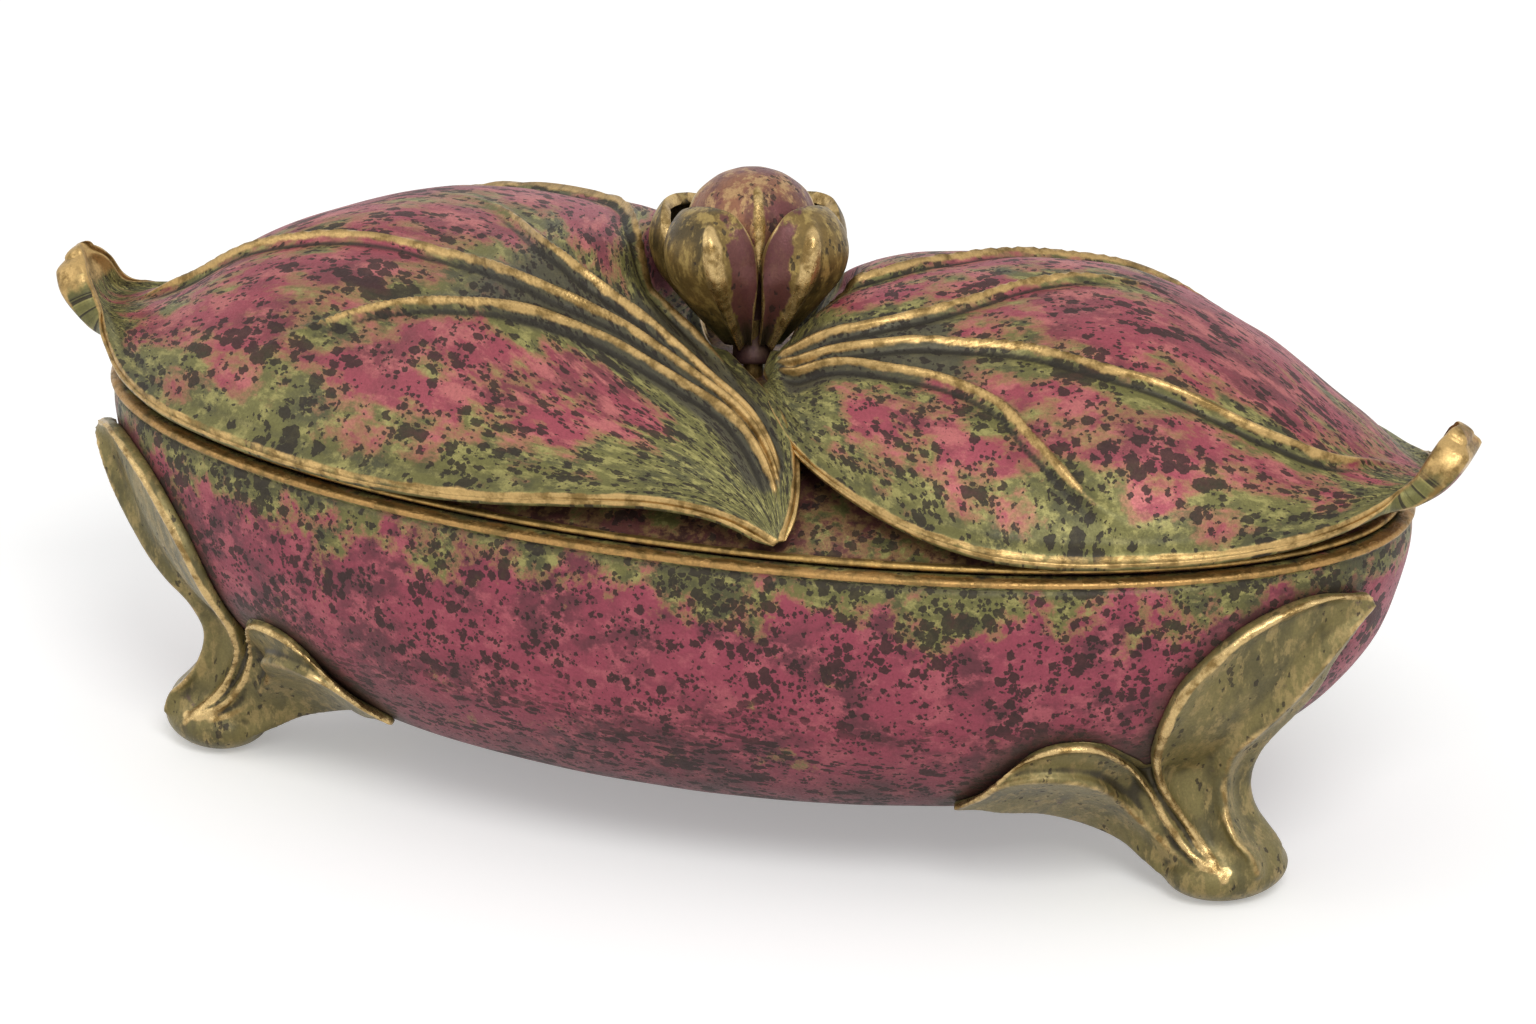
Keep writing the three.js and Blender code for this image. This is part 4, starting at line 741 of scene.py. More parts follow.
FLANGE_AND_BEAD = [
    (5.3, 60.4, 0),
    (5.2, 57.3, 0),
    (4.9, 57.0, 0),
    (3.5, 57.0, 0),
    (3.2, 57.4, 0),
    (3.2, 60.3, 0),
    (1.7, 60.3, 0.2),
    (1.4, 60.6, 0.8),
    (1.45, 61.0, 1),
    (1.9, 61.3, 1),
    (2.6, 61.3, 0.5),
    (3.2, 61.5, 0),
]
plate_rings = [dome_ring(share, PLATE_TOP - PLATE_WALL) for share in (0.2, 0.4, 0.6, 0.8, 0.92)]
for inset, z, ridge in FLANGE_AND_BEAD:
    plate_rings.append((HALF_LENGTH - inset, HALF_WIDTH - inset, z, ridge))
plate_rings += [dome_ring(0.965 * (1 - step / 26), PLATE_TOP) for step in range(1, 26)]


def plate_place(ring, spoke):
    length, width, z, ridge = plate_rings[ring]
    angle = 2 * math.pi * spoke / PLATE_SPOKES
    return (length * math.cos(angle), width * math.sin(angle), z), {"ridge": ridge}


plate_shape = loft(len(plate_rings), PLATE_SPOKES, plate_place)
show("domed_lid_plate", plate_shape, plate_finish, "lid", "patinated_bronze", "lid_plate")

# %% [markdown]
# ## The bud's own frame
# The bud leans back a little from its foot on the plate. The leaves are pressed
# down under its sepals, so both need the same leaning frame.

# %% The leaning frame and the sepals' outline
BUD_FOOT = (4.4, -10.5)
SEPAL_TURN = -20
SEPAL_OPENING = 2.4
SEPAL_KEEL = 0.9
SEPAL_KEEL_AT = 0.42
SEPAL_SPREAD = 43
SEPAL_CUP = 0.3
SEPAL_ARCH = 0.4
SEPAL_OUTLINE = [
    (4.4, 4, 0),
    (8.6, 8, 0),
    (12.9, 12, 0),
    (16.2, 15.6, 0),
    (17.4, 19.2, 0),
    (16.6, 22.8, 0),
    (14.4, 25.6, 0),
    (12.2, 26.8, 0),
]
bud_base = Vector((*BUD_FOOT, plate_top(*BUD_FOOT) + 0.7))
lean_back = (
    Matrix.Translation(bud_base)
    @ Matrix.Rotation(math.radians(-16), 4, "X")
    @ Matrix.Rotation(math.radians(-6), 4, "Y")
)
stand_up = lean_back.inverted()


def nest_roof(x, y):
    """How high a leaf may rise under the sepals, along the bud's axis."""
    opening = SEPAL_OPENING * max(0.0, math.cos(math.atan2(y, x) - math.radians(115)))
    radius = math.hypot(x, y) - opening
    k = 0
    while k < 3 and radius > SEPAL_OUTLINE[k + 1][0]:
        k += 1
    low, high = SEPAL_OUTLINE[k], SEPAL_OUTLINE[k + 1]
    slope = (high[1] - low[1]) / (high[0] - low[0])
    if radius > high[0]:
        slope = max(slope, 3.0)
    return low[1] + slope * (radius - low[0]) - 2.7


print("The bud stands on", [round(c, 1) for c in bud_base])

# %% [markdown]
# ## The leaves
# Each leaf is one broad cast sheet that swells between its two margins, ends in
# a curled tip and carries raised veins. It could be sculpted, but a formula
# keeps it exactly on the solid leaf. Rows from base to tip give the front
# margin, the rear margin and the crown between them. A section line then runs
# from the front margin over the crown to the rear one and back underneath.

# %% The leaves' rows and veins
LEFT_LEAF = [
    (0.222, -0.98, 2.9, 0.222, -0.98, 2.9, 0),
    (0.132, -0.962, 6.3, 0.209, -0.808, 9.8, 2.5),
    (0.027, -0.968, 7.4, 0.159, -0.611, 15.8, 5),
    (-0.1, -0.977, 6.2, 0.045, -0.372, 18.6, 9.5),
    (-0.245, -0.97, 4.4, -0.07, -0.056, 18.4, 17),
    (-0.391, -0.927, 3.2, -0.082, 0.188, 19, 23),
    (-0.536, -0.85, 2.8, -0.136, 0.602, 13.5, 26),
    (-0.682, -0.737, 2.8, -0.418, 0.921, 3.5, 27.5),
    (-0.809, -0.598, 3, -0.691, 0.733, 2.8, 20.5),
    (-0.909, -0.423, 3.6, -0.868, 0.508, 3.2, 10.5),
    (-0.977, -0.244, 5, -0.968, 0.282, 5, 3.8),
    (-1.027, -0.122, 8.3, -1.027, 0.132, 8.3, -0.5),
    (-1.053, -0.088, 13, -1.053, 0.088, 13, -0.5),
    (-1.07, -0.03, 16.3, -1.07, 0.03, 16.3, 0),
]
RIGHT_LEAF = [
    (0.103, -0.432, 18, 0.103, -0.432, 18, 0),
    (0.136, -0.573, 17.2, 0.087, -0.263, 19.5, 2.5),
    (0.195, -0.705, 13.8, 0.077, -0.056, 20, 6.5),
    (0.282, -0.799, 10.2, 0.077, 0.169, 20, 13.5),
    (0.391, -0.857, 6.6, 0.095, 0.414, 16.8, 19),
    (0.5, -0.861, 4.2, 0.145, 0.695, 11.5, 23.5),
    (0.6, -0.805, 3, 0.273, 0.959, 3.5, 28),
    (0.7, -0.72, 2.8, 0.482, 0.88, 2.8, 28.3),
    (0.809, -0.598, 3, 0.691, 0.733, 2.8, 21.3),
    (0.909, -0.423, 3.6, 0.868, 0.508, 3.2, 11),
    (0.977, -0.244, 5, 0.968, 0.282, 5, 4),
    (1.027, -0.122, 8.3, 1.027, 0.132, 8.3, -0.5),
    (1.053, -0.088, 13, 1.053, 0.088, 13, -0.5),
    (1.07, -0.03, 16.3, 1.07, 0.03, 16.3, 0),
]
LEFT_VEINS = [
    [
        (0.06, 0.7), (0.127, 0.67), (0.183, 0.63), (0.256, 0.52), (0.319, 0.41), (0.4, 0.3),
        (0.465, 0.235), (0.506, 0.165), (0.56, 0.06),
    ],
    [
        (0.07, 0.78), (0.179, 0.71), (0.252, 0.62), (0.308, 0.515), (0.36, 0.43), (0.442, 0.365),
        (0.533, 0.345), (0.62, 0.39), (0.7, 0.44), (0.8, 0.52),
    ],
    [
        (0.08, 0.83), (0.187, 0.755), (0.26, 0.695), (0.306, 0.616), (0.362, 0.531),
        (0.438, 0.485), (0.525, 0.54),
    ],
    [(0.22, 0.88), (0.45, 0.72), (0.6, 0.75), (0.7, 0.85)],
]
RIGHT_VEINS = [
    [
        (0.11, 0.38), (0.171, 0.33), (0.283, 0.285), (0.36, 0.25), (0.41, 0.2),
        (0.446, 0.13), (0.494, 0.06), (0.54, 0.03),
    ],
    [
        (0.1, 0.47), (0.173, 0.39), (0.233, 0.35), (0.335, 0.341), (0.425, 0.306), (0.515, 0.253),
        (0.6, 0.24), (0.65, 0.245), (0.712, 0.3), (0.785, 0.5),
    ],
    [
        (0.1, 0.56), (0.2, 0.44), (0.258, 0.412), (0.306, 0.41), (0.36, 0.42), (0.413, 0.444),
        (0.462, 0.484), (0.51, 0.515), (0.56, 0.54),
    ],
    [(0.2, 0.68), (0.35, 0.62), (0.5, 0.7), (0.62, 0.8)],
]
print("Veins:", len(LEFT_VEINS), "on the left leaf,", len(RIGHT_VEINS), "on the right")

# %% [markdown]
# A vein is a rounded ridge about 2 mm wide in a shallow valley, with painted
# shade along its lower side and a fainter band of it along its upper side. All
# are humps of different widths round the same line: a wide one taken away, a
# narrow one added.

# %% Veins as humps


def vein_line(points):
    """The smooth curve of a vein, as pairs of the share along the leaf and the share across."""
    smooth = [along([Vector(point) for point in points], i / 120) for i in range(121)]
    return [(p.x, p.y) for p in smooth]


def vein_at(line, share):
    """Where a vein lies across the leaf, its slope there, and how strong it is."""
    first, last = line[0][0], line[-1][0]
    strength = rise(share, first - 0.04, first + 0.05) * (1 - rise(share, last - 0.1, last + 0.015))
    if strength <= 0:
        return 0.5, 0.0, 0.0
    k = 0
    while k + 2 < len(line) and line[k + 1][0] < share:
        k += 1
    (u0, v0), (u1, v1) = line[k], line[k + 1]
    slope = (v1 - v0) / max(u1 - u0, 1e-6)
    return v0 + slope * (min(max(share, u0), u1) - u0), slope, strength


def vein_relief(veins, across, width, length):
    """Height over the leaf's plain face, and the ridge, painted shade and valley marks, at one point."""
    ridge, painted_shade, valley, between = 0.0, 0.0, 0.0, 0.0
    for centre, slope, strength in veins:
        if strength <= 0:
            continue
        lean = math.hypot(1, slope * width / length)
        below = (centre - across) * width / lean
        distance = abs(below)
        ridge = max(ridge, strength * hump(distance, 0.95))
        # Painted shade: a dark band below each vein and a fainter one above it.
        painted_shade = max(painted_shade, strength * hump(below - 2.0, 0.8), 0.4 * strength * hump(below + 2.0, 0.6))
        valley = max(valley, strength * hump(distance, 4.6))
        between += strength * hump(distance, 6.5)
    return 1.9 * ridge - 0.9 * valley, ridge, painted_shade, between


# %% The leaf's plain face


def leaf_curves(rows):
    """The front margin, the rear margin and the crown as rows of points."""
    front = [Vector((x * HALF_LENGTH, y * HALF_WIDTH, RIM + z)) for x, y, z, *_ in rows]
    rear = [Vector((row[3] * HALF_LENGTH, row[4] * HALF_WIDTH, RIM + row[5])) for row in rows]
    crown = [Vector((row[6], 0, 0)) for row in rows]
    return front, rear, crown


def press_down(point):
    """Presses a point of the leaf down under the sepals, softly."""
    upright = stand_up @ point
    over = upright.z - nest_roof(upright.x, upright.y)
    if over < -12:
        return point
    upright.z -= (over + math.hypot(over, 1.5)) / 2
    return lean_back @ upright


def leaf_rows_of_points(rows, steps, columns):
    """Points of the leaf's upper face, row by row, and the shares they stand at."""
    front, rear, crown = leaf_curves(rows)
    shares_along = [0.012 + 0.976 * i / steps for i in range(steps + 1)]
    shares_across = [x / columns - 0.055 * math.sin(2 * math.pi * x / columns) for x in range(columns + 1)]
    face = []
    for share in shares_along:
        start, end, height = along(front, share), along(rear, share), along(crown, share).x
        line = []
        for across in shares_across:
            point = start.lerp(end, across)
            point.z += height * max(0.0, 4 * across * (1 - across)) ** 0.8
            line.append(press_down(point))
        face.append(line)
    return face, shares_along, shares_across


# %% [markdown]
# The margin is the leaf's most worked part: a thin crest on top, and outside it
# a rounded roll 3 to 4 mm high. Its section is a short list of steps outwards
# and upwards, and the underside follows at the thickness of the casting.

# %% Loft a leaf
LEAF_STEPS = 240
TOP_COLUMNS = 176
UNDER_COLUMNS = 30
LEAF_WALL = 2.4
TIP_WALL = 4.6
ROLL = [
    (-0.1, 1.1),
    (0.35, 0.95),
    (0.75, 0.6),
    (1.0, 0.1),
    (1.1, -0.5),
    (1.05, -1.1),
    (0.8, -1.7),
    (0.4, -2.2),
    (-0.1, -2.4),
]


def face_normals(face, side):
    """The direction out of the upper face at each of its points."""
    normals = []
    for i, line in enumerate(face):
        before, after = face[max(i - 1, 0)], face[min(i + 1, len(face) - 1)]
        row = []
        for j in range(len(line)):
            a, b = max(j - 1, 0), min(j + 1, len(line) - 1)
            normal = (after[j] - before[j]).cross(line[b] - line[a]) * side
            row.append(normal.normalized() if normal.length > 1e-9 else Vector((0, 0, 1)))
        normals.append(row)
    return normals


def leaf_section(line, normals, shares, veins, length_step, share, shine):
    """One closed section: points with marks, over the top and back underneath."""
    width = sum((b - a).length for a, b in zip(line, line[1:]))
    taper = rise(width, 0, 7)
    wall = LEAF_WALL + (TIP_WALL - LEAF_WALL) * rise(share, 0.8, 0.92)
    knob = rise(share, 0.84, 0.95)
    section = []
    run = 0.0
    for j, across in enumerate(shares):
        if j:
            run += (line[j] - line[j - 1]).length
        near = min(run, width - run)
        lift, ridge, painted_shade, between = vein_relief(veins, across, width, length_step)
        crest = hump(near - 0.9, 1.15) * rise(width, 2, 9)
        groove = hump(near - 3.4, 1.5) * rise(width, 8, 20)
        lift = lift * rise(near, 0.5, 4) + 1.0 * crest - 0.25 * groove
        wave = 0.25 * noise.noise(line[j] / 9) * rise(near, 0, 5)
        marks = {
            "ridge": max(ridge * rise(near, 0.5, 4), 0.8 * hump(near - 0.5, 0.8), 0.75 * knob),
            # Painted shade beside the veins and in the groove inside the margin.
            "painted_shade": max(painted_shade, groove * 0.5) * (1 - knob),
            "margin": math.exp(-near / 9),
            "base": 1 - rise(share, 0.04, 0.3),
            "valley": between * rise(near, 0, 4),
            "flow": Vector((share * 175, across * 95, 0)),
        }
        section.append((line[j] + normals[j] * (lift + wave) * taper, marks))
    under = [(line[j] - normals[j] * wall * taper, j) for j in under_columns]
    return add_roll(section, line, normals, taper, under, wall / LEAF_WALL, knob, shine)


def add_roll(section, line, normals, taper, under, thick, knob, shine):
    """The rounded rolls outside both margins, and the underside between them.

    The roll's sides take as much brass as shine says and painted shade for the rest, and its two edges are
    always brass.
    """
    inner = 6
    edge_marks = []
    for _, up in ROLL:
        edge = max(knob, hump(up - 1.05, 0.4), 0.8 * hump(up + 2.1, 0.4))
        # The roll's sides get painted shade where they are not brass.
        marks = {"ridge": shine + (0.75 - shine) * edge, "painted_shade": 0.5 * (1 - edge) * (1 - shine)}
        edge_marks.append(dict(marks, margin=1.0, base=section[0][1]["base"]))
    rolls = []
    for end, neighbour in ((-1, -1 - inner), (0, inner)):
        out = (line[end] - line[neighbour]).normalized()
        rolls.append(
            [
                (
                    line[end] + out * away * taper + normals[end] * (up if up > 0 else up * thick) * taper,
                    dict(marks, flow=section[end][1]["flow"]),
                )
                for (away, up), marks in zip(ROLL, edge_marks)
            ]
        )
    # The underside gets painted shade.
    plain = {"ridge": 0.6 * knob, "painted_shade": 0.4 * (1 - knob), "base": 0.3}
    bottom = [(point, dict(plain, flow=section[j][1]["flow"])) for point, j in under]
    return section + rolls[0] + bottom + rolls[1][::-1]


under_columns = [round(TOP_COLUMNS * (1 - (i + 1) / (UNDER_COLUMNS + 1))) for i in range(UNDER_COLUMNS)]


def make_leaf(rows, vein_points, side, shine):
    """A whole leaf, lofted from its base to its tip."""
    face, shares_along, shares_across = leaf_rows_of_points(rows, LEAF_STEPS, TOP_COLUMNS)
    normals = face_normals(face, side)
    lines = [vein_line(points) for points in vein_points]
    sections = []
    middle = TOP_COLUMNS // 2
    for i, share in enumerate(shares_along):
        before, after = face[max(i - 1, 0)], face[min(i + 1, LEAF_STEPS)]
        length = (after[middle] - before[middle]).length * LEAF_STEPS / 2
        veins = [vein_at(line, share) for line in lines]
        sections.append(leaf_section(face[i], normals[i], shares_across, veins, max(length, 1), share, shine))
    sections += round_end(sections[-1], sections[-3])
    return loft(len(sections), len(sections[0]), lambda ring, spoke: sections[ring][spoke])


def round_end(last, before):
    """Rings that close the leaf's tip with a dome."""
    middle = sum((point for point, marks in last), Vector()) / len(last)
    onward = (middle - sum((point for point, marks in before), Vector()) / len(before)).normalized()
    rings = []
    for step in range(1, 7):
        angle = math.pi / 2 * step / 6.5
        ahead = onward * (1.5 * math.sin(angle))
        rings.append([(middle + (point - middle) * math.cos(angle) + ahead, marks) for point, marks in last])
    return rings


left_leaf = make_leaf(LEFT_LEAF, LEFT_VEINS, -1, 0.05)
show("left_leaf_casting", left_leaf, left_leaf_finish, "lid", "patinated_bronze", "left_leaf")
right_leaf = make_leaf(RIGHT_LEAF, RIGHT_VEINS, 1, 0.26)
show("right_leaf_casting", right_leaf, right_leaf_finish, "lid", "patinated_bronze", "right_leaf")

# %% [markdown]
# ## The bud and its sepals
# The bud is a turned knob with four soft keels that show in the gaps between
# the sepals. Each sepal is a thick cupped petal. Its outline runs up the bud's
# side, and its rim is rounded like a lip.

# %% Loft the bud
BUD_PROFILE = [
    (1.5, 1.3, 0),
    (3.2, 1.4, 0),
    (3.2, 5, 0),
    (4.2, 9, 0),
    (6.8, 13, 0),
    (9.6, 17.5, 0),
    (10.3, 22, 0),
    (9.8, 25.7, 0),
    (8.2, 28.9, 0),
    (5.4, 31.3, 0),
    (2.2, 32.4, 0),
    (0.15, 32.6, 0),
]
BUD_STEPS = 90
BUD_SPOKES = 120
bud_outline = [Vector(row) for row in BUD_PROFILE]


def bud_place(ring, spoke):
    """A point of the bud, with a soft keel in each gap between two sepals, and painted shade beside each keel
    and on its lower part.
    """
    radius, z, _ = along(bud_outline, ring / BUD_STEPS)
    angle = 2 * math.pi * spoke / BUD_SPOKES
    off_keel = (math.degrees(angle) - SEPAL_TURN - 45 + 45) % 90 - 45
    keel = hump(off_keel, 7) * rise(z, 13, 19) * (1 - rise(z, 28.5, 31.5))
    beside = hump(abs(off_keel) - 13, 7) * rise(z, 13, 19) * (1 - rise(z, 24, 30))
    swell = radius * (1 + 0.045 * keel - 0.012 * beside)
    point = lean_back @ Vector((swell * math.cos(angle), swell * math.sin(angle), z))
    # Painted shade beside each keel and on the bud's lower part.
    return point, {"ridge": 0.9 * keel, "painted_shade": 0.5 * beside + 1 - rise(z, 12, 19)}


bud_shape = loft(BUD_STEPS + 1, BUD_SPOKES, bud_place)
show("bud_knob", bud_shape, bud_finish, "lid", "olive_bronze", "bud")

# %% Loft one sepal
SEPAL_STEPS = 72
SEPAL_COLUMNS = 56
SEPAL_LIP = 10
sepal_outline = [Vector(row) for row in SEPAL_OUTLINE]


def sepal_point(facing, opening, share, t, depth, lift):
    """A point of a sepal: t runs from -1 to 1 across it, depth goes into its wall."""
    radius, height, _ = along(sepal_outline, share)
    slope = (along(sepal_outline, share + 0.01) - along(sepal_outline, share - 0.01)).normalized()
    tip = max(0.0, (share - SEPAL_ARCH) / (1 - SEPAL_ARCH))
    wide = (0.85 + 0.15 * math.sin(math.pi * share)) * math.sqrt(max(0.0, 1 - tip**2))
    angle = math.radians(facing + t * SEPAL_SPREAD * wide)
    cup = 1 - SEPAL_CUP * (t * wide) ** 2 * min(1.0, 2 * share)
    out = (radius + opening * share) * cup + slope.y * (lift - depth)
    z = height + opening * share / 2 - slope.x * (lift - depth)
    return lean_back @ Vector((out * math.cos(angle), out * math.sin(angle), z))


def sepal_sections(facing, opening, side):
    """The closed sections of one sepal. Its keel lies on the side that side points to."""
    sections = []
    for step in range(SEPAL_STEPS + 1):
        share = 0.008 + 0.984 * step / SEPAL_STEPS
        wall = 2.0 * min(1.0, 0.45 + 1.6 * share)
        tip = max(0.0, (share - 0.6) / 0.4)
        fading = 1 - rise(share, 0.62, 0.86)
        section = []
        for j in range(SEPAL_COLUMNS + 1):
            t = 2 * j / SEPAL_COLUMNS - 1
            off = t * side - SEPAL_KEEL_AT
            keel = hump(off, 0.1 + 0.05 * (1 - share)) * fading
            inner = rise(off, 0.08, 0.3) * (1 - 0.6 * tip)
            rim = hump(1 - abs(t), 0.05)
            flat = hump(off - 0.3, 0.16) * fading
            lift = (SEPAL_KEEL + 0.2) * keel - 0.55 * flat
            marks = {
                "ridge": max(keel * 1.2, rim * 0.5, 0.35 * tip**3),
                # Painted shade at the sepal's foot, off the keel.
                "painted_shade": 0.9 * (1 - rise(share, 0.02, 0.3)) * (1 - keel),
                "margin": inner,
            }
            section.append((sepal_point(facing, opening, share, t, 0, lift), marks))
        for turn in range(1, SEPAL_LIP):
            angle = math.pi * turn / SEPAL_LIP
            t, depth = 1 + 0.03 * math.sin(angle), wall * (1 - math.cos(angle)) / 2
            section.append((sepal_point(facing, opening, share, t, depth, 0), {"ridge": 0.6}))
        for j in range(SEPAL_COLUMNS // 2 + 1):
            t = 1 - 4 * j / SEPAL_COLUMNS
            # Painted shade on the sepal's underside.
            section.append((sepal_point(facing, opening, share, t, wall, 0), {"painted_shade": 0.8}))
        for turn in range(1, SEPAL_LIP):
            angle = math.pi * turn / SEPAL_LIP
            t, depth = -1 - 0.03 * math.sin(angle), wall * (1 + math.cos(angle)) / 2
            section.append((sepal_point(facing, opening, share, t, depth, 0), {"ridge": 0.6}))
        sections.append(section)
    return sections


for quarter, way in enumerate(("front", "right", "rear", "left")):
    opening = SEPAL_OPENING if quarter > 1 else 0
    petal = sepal_sections(-90 + SEPAL_TURN + 90 * quarter, opening, -1 if quarter % 2 else 1)
    shape = loft(len(petal), len(petal[0]), lambda ring, spoke: petal[ring][spoke])
    show("sepal_casting_" + way, shape, sepal_finish, "lid", "olive_bronze", "sepal_" + way)

# %% [markdown]
# ## The feet
# Each foot grows up from a pad as two curling blades that hug the bowl: a tall
# one that leans back to the bowl's end, and a long low one that reaches along
# its side. A blade has a hollow face between two ridges, and a smooth flank
# beside the second one. So three lines make a blade: the front ridge, the rear
# ridge and the heel of the flank. Up on the bowl a point is given by its
# distance round the rim from the foot, how far it stands out, and its height.
# Down at the foot it is given by its way forward and away from the pad.

# %% The places round a foot
FOOT_TURNS = {"front": 23, "rear": 50}
UPPER_SIDE = [
    (-8.9, 1.6, 52.2, -9.2, 2, 51, -9.4, 1.9, 50.5),
    (-1.4, 1.6, 54.1, -6, 2.2, 49, -8.4, 1.5, 47.5),
    (5.8, 1.6, 53.2, -2.6, 2.2, 44.1, -7.4, 0.8, 41),
    (12.7, 1.6, 50, -0.8, 2, 40, -7.4, 0.8, 38),
    (17.1, 1.6, 45.4, 0.4, 2, 37, -7.3, 0.9, 35),
    (20, 1.6, 40.5, 2.1, 2.2, 33.4, -6.1, 1.2, 31.6),
    (19.8, 1.6, 33.4, 3.3, 2.3, 29.8, -5, 1.7, 27.6),
]
UPPER_ROOT = [
    (15.2, 4, 27.1, 2.3, 5.6, 25.7, -4.2, 3.6, 23.6),
    (12.4, 1.6, 20.6, 2.2, 3.2, 20.2, -4.3, 1.2, 18.2),
    (8.8, 1.6, 14.8, 2.5, 4.6, 15.3, -5.2, 1.2, 13.6),
    (6.4, 3.4, 10.2, 2.4, 7.4, 12, -6.4, 3.4, 10.2),
    (5.4, 6.2, 7.6, 0.6, 9.3, 9.2, -7.2, 5.8, 7.6),
    (4.4, 8.6, 4.6, -0.6, 10, 5.4, -6.4, 7.6, 4.8),
]
LOWER_SIDE = [
    (45.6, 1.8, 16, 45.5, 2, 15.8, 44.7, 1.8, 15.5),
    (43.1, 1.5, 21, 43.8, 2.3, 19.3, 40.5, 1.8, 15.6),
    (41.2, 1.5, 27, 41.5, 2.7, 23.8, 34.9, 2.8, 14.5),
    (37.5, 1.5, 30.1, 36.4, 3, 25, 28.3, 3.6, 13.6),
    (32.5, 1.5, 30.8, 29.5, 3.2, 24, 21.2, 5.1, 12.4),
    (27.2, 1.5, 29.5, 23.4, 3.3, 21.5, 14.2, 5.3, 10.6),
    (20.1, 1.5, 25.4, 16.9, 3.6, 17.4, 9.1, 6, 8.8),
]
LOWER_ROOT = [
    (14, -0.2, 19.6, 13.8, -2.6, 13.6, 13.4, -9, 7.2),
    (10.9, 0.2, 13.6, 11.4, -1.8, 11, 11.8, -4.5, 5),
    (8.8, 2.5, 9.3, 9.6, 0, 8.4, 10.3, -1.2, 3.4),
    (6.5, 6, 7.2, 7.5, 4.5, 6.3, 8, 3, 2.6),
    (3, 8, 6.2, 3.5, 7.6, 5.2, 4.5, 7, 2.6),
]


def out_of_side(p):
    """The way out of the bowl's side at a point near it."""
    depth = RIM - FLOOR
    return Vector((p.x / HALF_LENGTH**2, p.y / HALF_WIDTH**2, min(p.z - RIM, 0) / depth**2)).normalized()


def angle_on(turn, distance):
    """The oval's angle a distance further round the rim."""
    angle = math.radians(turn)
    for _ in range(12):
        angle += distance / 12 / math.hypot(HALF_LENGTH * math.sin(angle), HALF_WIDTH * math.cos(angle))
    return angle


def foot_frame(turn):
    """The way out of the bowl, the way on round it, the pad's middle and the screw's place."""
    angle = math.radians(turn)
    out = Vector((HALF_WIDTH * math.cos(angle), -HALF_LENGTH * math.sin(angle), 0)).normalized()
    on = Vector((out.y, -out.x, 0))
    length, width = bowl_at(25)
    pad = Vector((length * math.cos(angle), -width * math.sin(angle), 0)) - out * 1.1 - on * 1.6
    return out, on, pad, pad * (1 - 28 / pad.length)


def on_the_bowl(turn, distance, stand, z):
    """A point of a blade that lies on the bowl's side."""
    angle = angle_on(turn, distance)
    length, width = bowl_at(z)
    grown = 1 + stand / width
    return Vector((length * grown * math.cos(angle), -width * grown * math.sin(angle), z))


def blade_lines(which, side_rows, root_rows):
    """A blade's front ridge, rear ridge and heel as three rows of points."""
    turn = FOOT_TURNS[which]
    out, on, pad, _ = foot_frame(turn)
    lines = []
    for first in (0, 3, 6):
        line = [on_the_bowl(turn, *row[first : first + 3]) for row in side_rows]
        for row in root_rows:
            forward, away, z = row[first : first + 3]
            line.append(pad + on * forward + out * away + Vector((0, 0, z)))
        lines.append(line)
    return lines


print("A foot's pad stands at", [round(c, 1) for c in foot_frame(FOOT_TURNS["front"])[2]])

# %% Loft a blade
BLADE_STEPS = 80
BLADE_SPOKES = 72
HOLLOW = 0.24  # the hollow's depth as a share of the face's width


def off_the_bowl(point, gap):
    """The point, moved out if it lies nearer to the bowl than the gap."""
    length, width = (size + gap for size in bowl_at(point.z))
    inside = math.hypot(point.x / length, point.y / width)
    if inside >= 1 or point.z < FLOOR:
        return point
    return Vector((point.x / inside, point.y / inside, point.z))


def blade_section(front, rear, heel, outward, hollow):
    """The closed section through the three lines: the hollow face, the flank and the back."""
    deep = outward * ((rear - front).length * hollow)
    over = (rear - front).normalized()
    flank = heel - rear
    return [
        front + outward * 0.5,
        off_the_bowl(front.lerp(rear, 0.16) - deep * 0.6, 1.5),
        off_the_bowl(front.lerp(rear, 0.45) - deep, 1.6),
        off_the_bowl(front.lerp(rear, 0.78) - deep * 0.65, 1.6),
        rear + outward * 0.5,
        rear + flank * 0.45 - outward * (0.04 * flank.length),
        heel,
        heel.lerp(rear, 0.2) - outward * 3.6,
        front.lerp(rear, 0.3) - outward * 4.6,
        front + over * 0.3 - outward * 3.2,
        front - over * 0.7 - outward * 1.1,
    ]


def make_blade(lines):
    """One blade, lofted down its three lines from the tip to the pad."""
    sections = []
    outward = out_of_side(lines[0][0])
    for step in range(BLADE_STEPS + 1):
        share = step / BLADE_STEPS
        front, rear, heel = (along(line, share) for line in lines)
        way = sum((along(line, share + 0.02) - along(line, share - 0.02) for line in lines[:2]), Vector())
        facing = way.cross(rear - front).normalized()
        facing = facing if facing.dot(outward) > 0 else -facing
        outward = outward.lerp(facing, 0.35).normalized()
        hollow = HOLLOW * rise(share, 0, 0.12) * (1 - 0.75 * rise(share, 0.8, 0.96))
        loop = blade_section(front, rear, heel, outward, hollow)
        sections.append(loop + loop[:1])

    def place(ring, spoke):
        return along(sections[ring], spoke / BLADE_SPOKES), {}

    return loft(BLADE_STEPS + 1, BLADE_SPOKES, place)


# %% Join a foot's pieces into one casting
VOXEL = 0.45


def add_ball(shape, centre, sizes, turned):
    """A squashed ball, turned about the vertical."""
    made = bmesh.ops.create_uvsphere(shape, u_segments=48, v_segments=32, radius=1)["verts"]
    squash = Matrix.Diagonal((*[size / 1000 for size in sizes], 1))
    matrix = Matrix.Translation(spot(*centre)) @ Matrix.Rotation(turned, 4, "Z") @ squash
    bmesh.ops.transform(shape, matrix=matrix, verts=made)


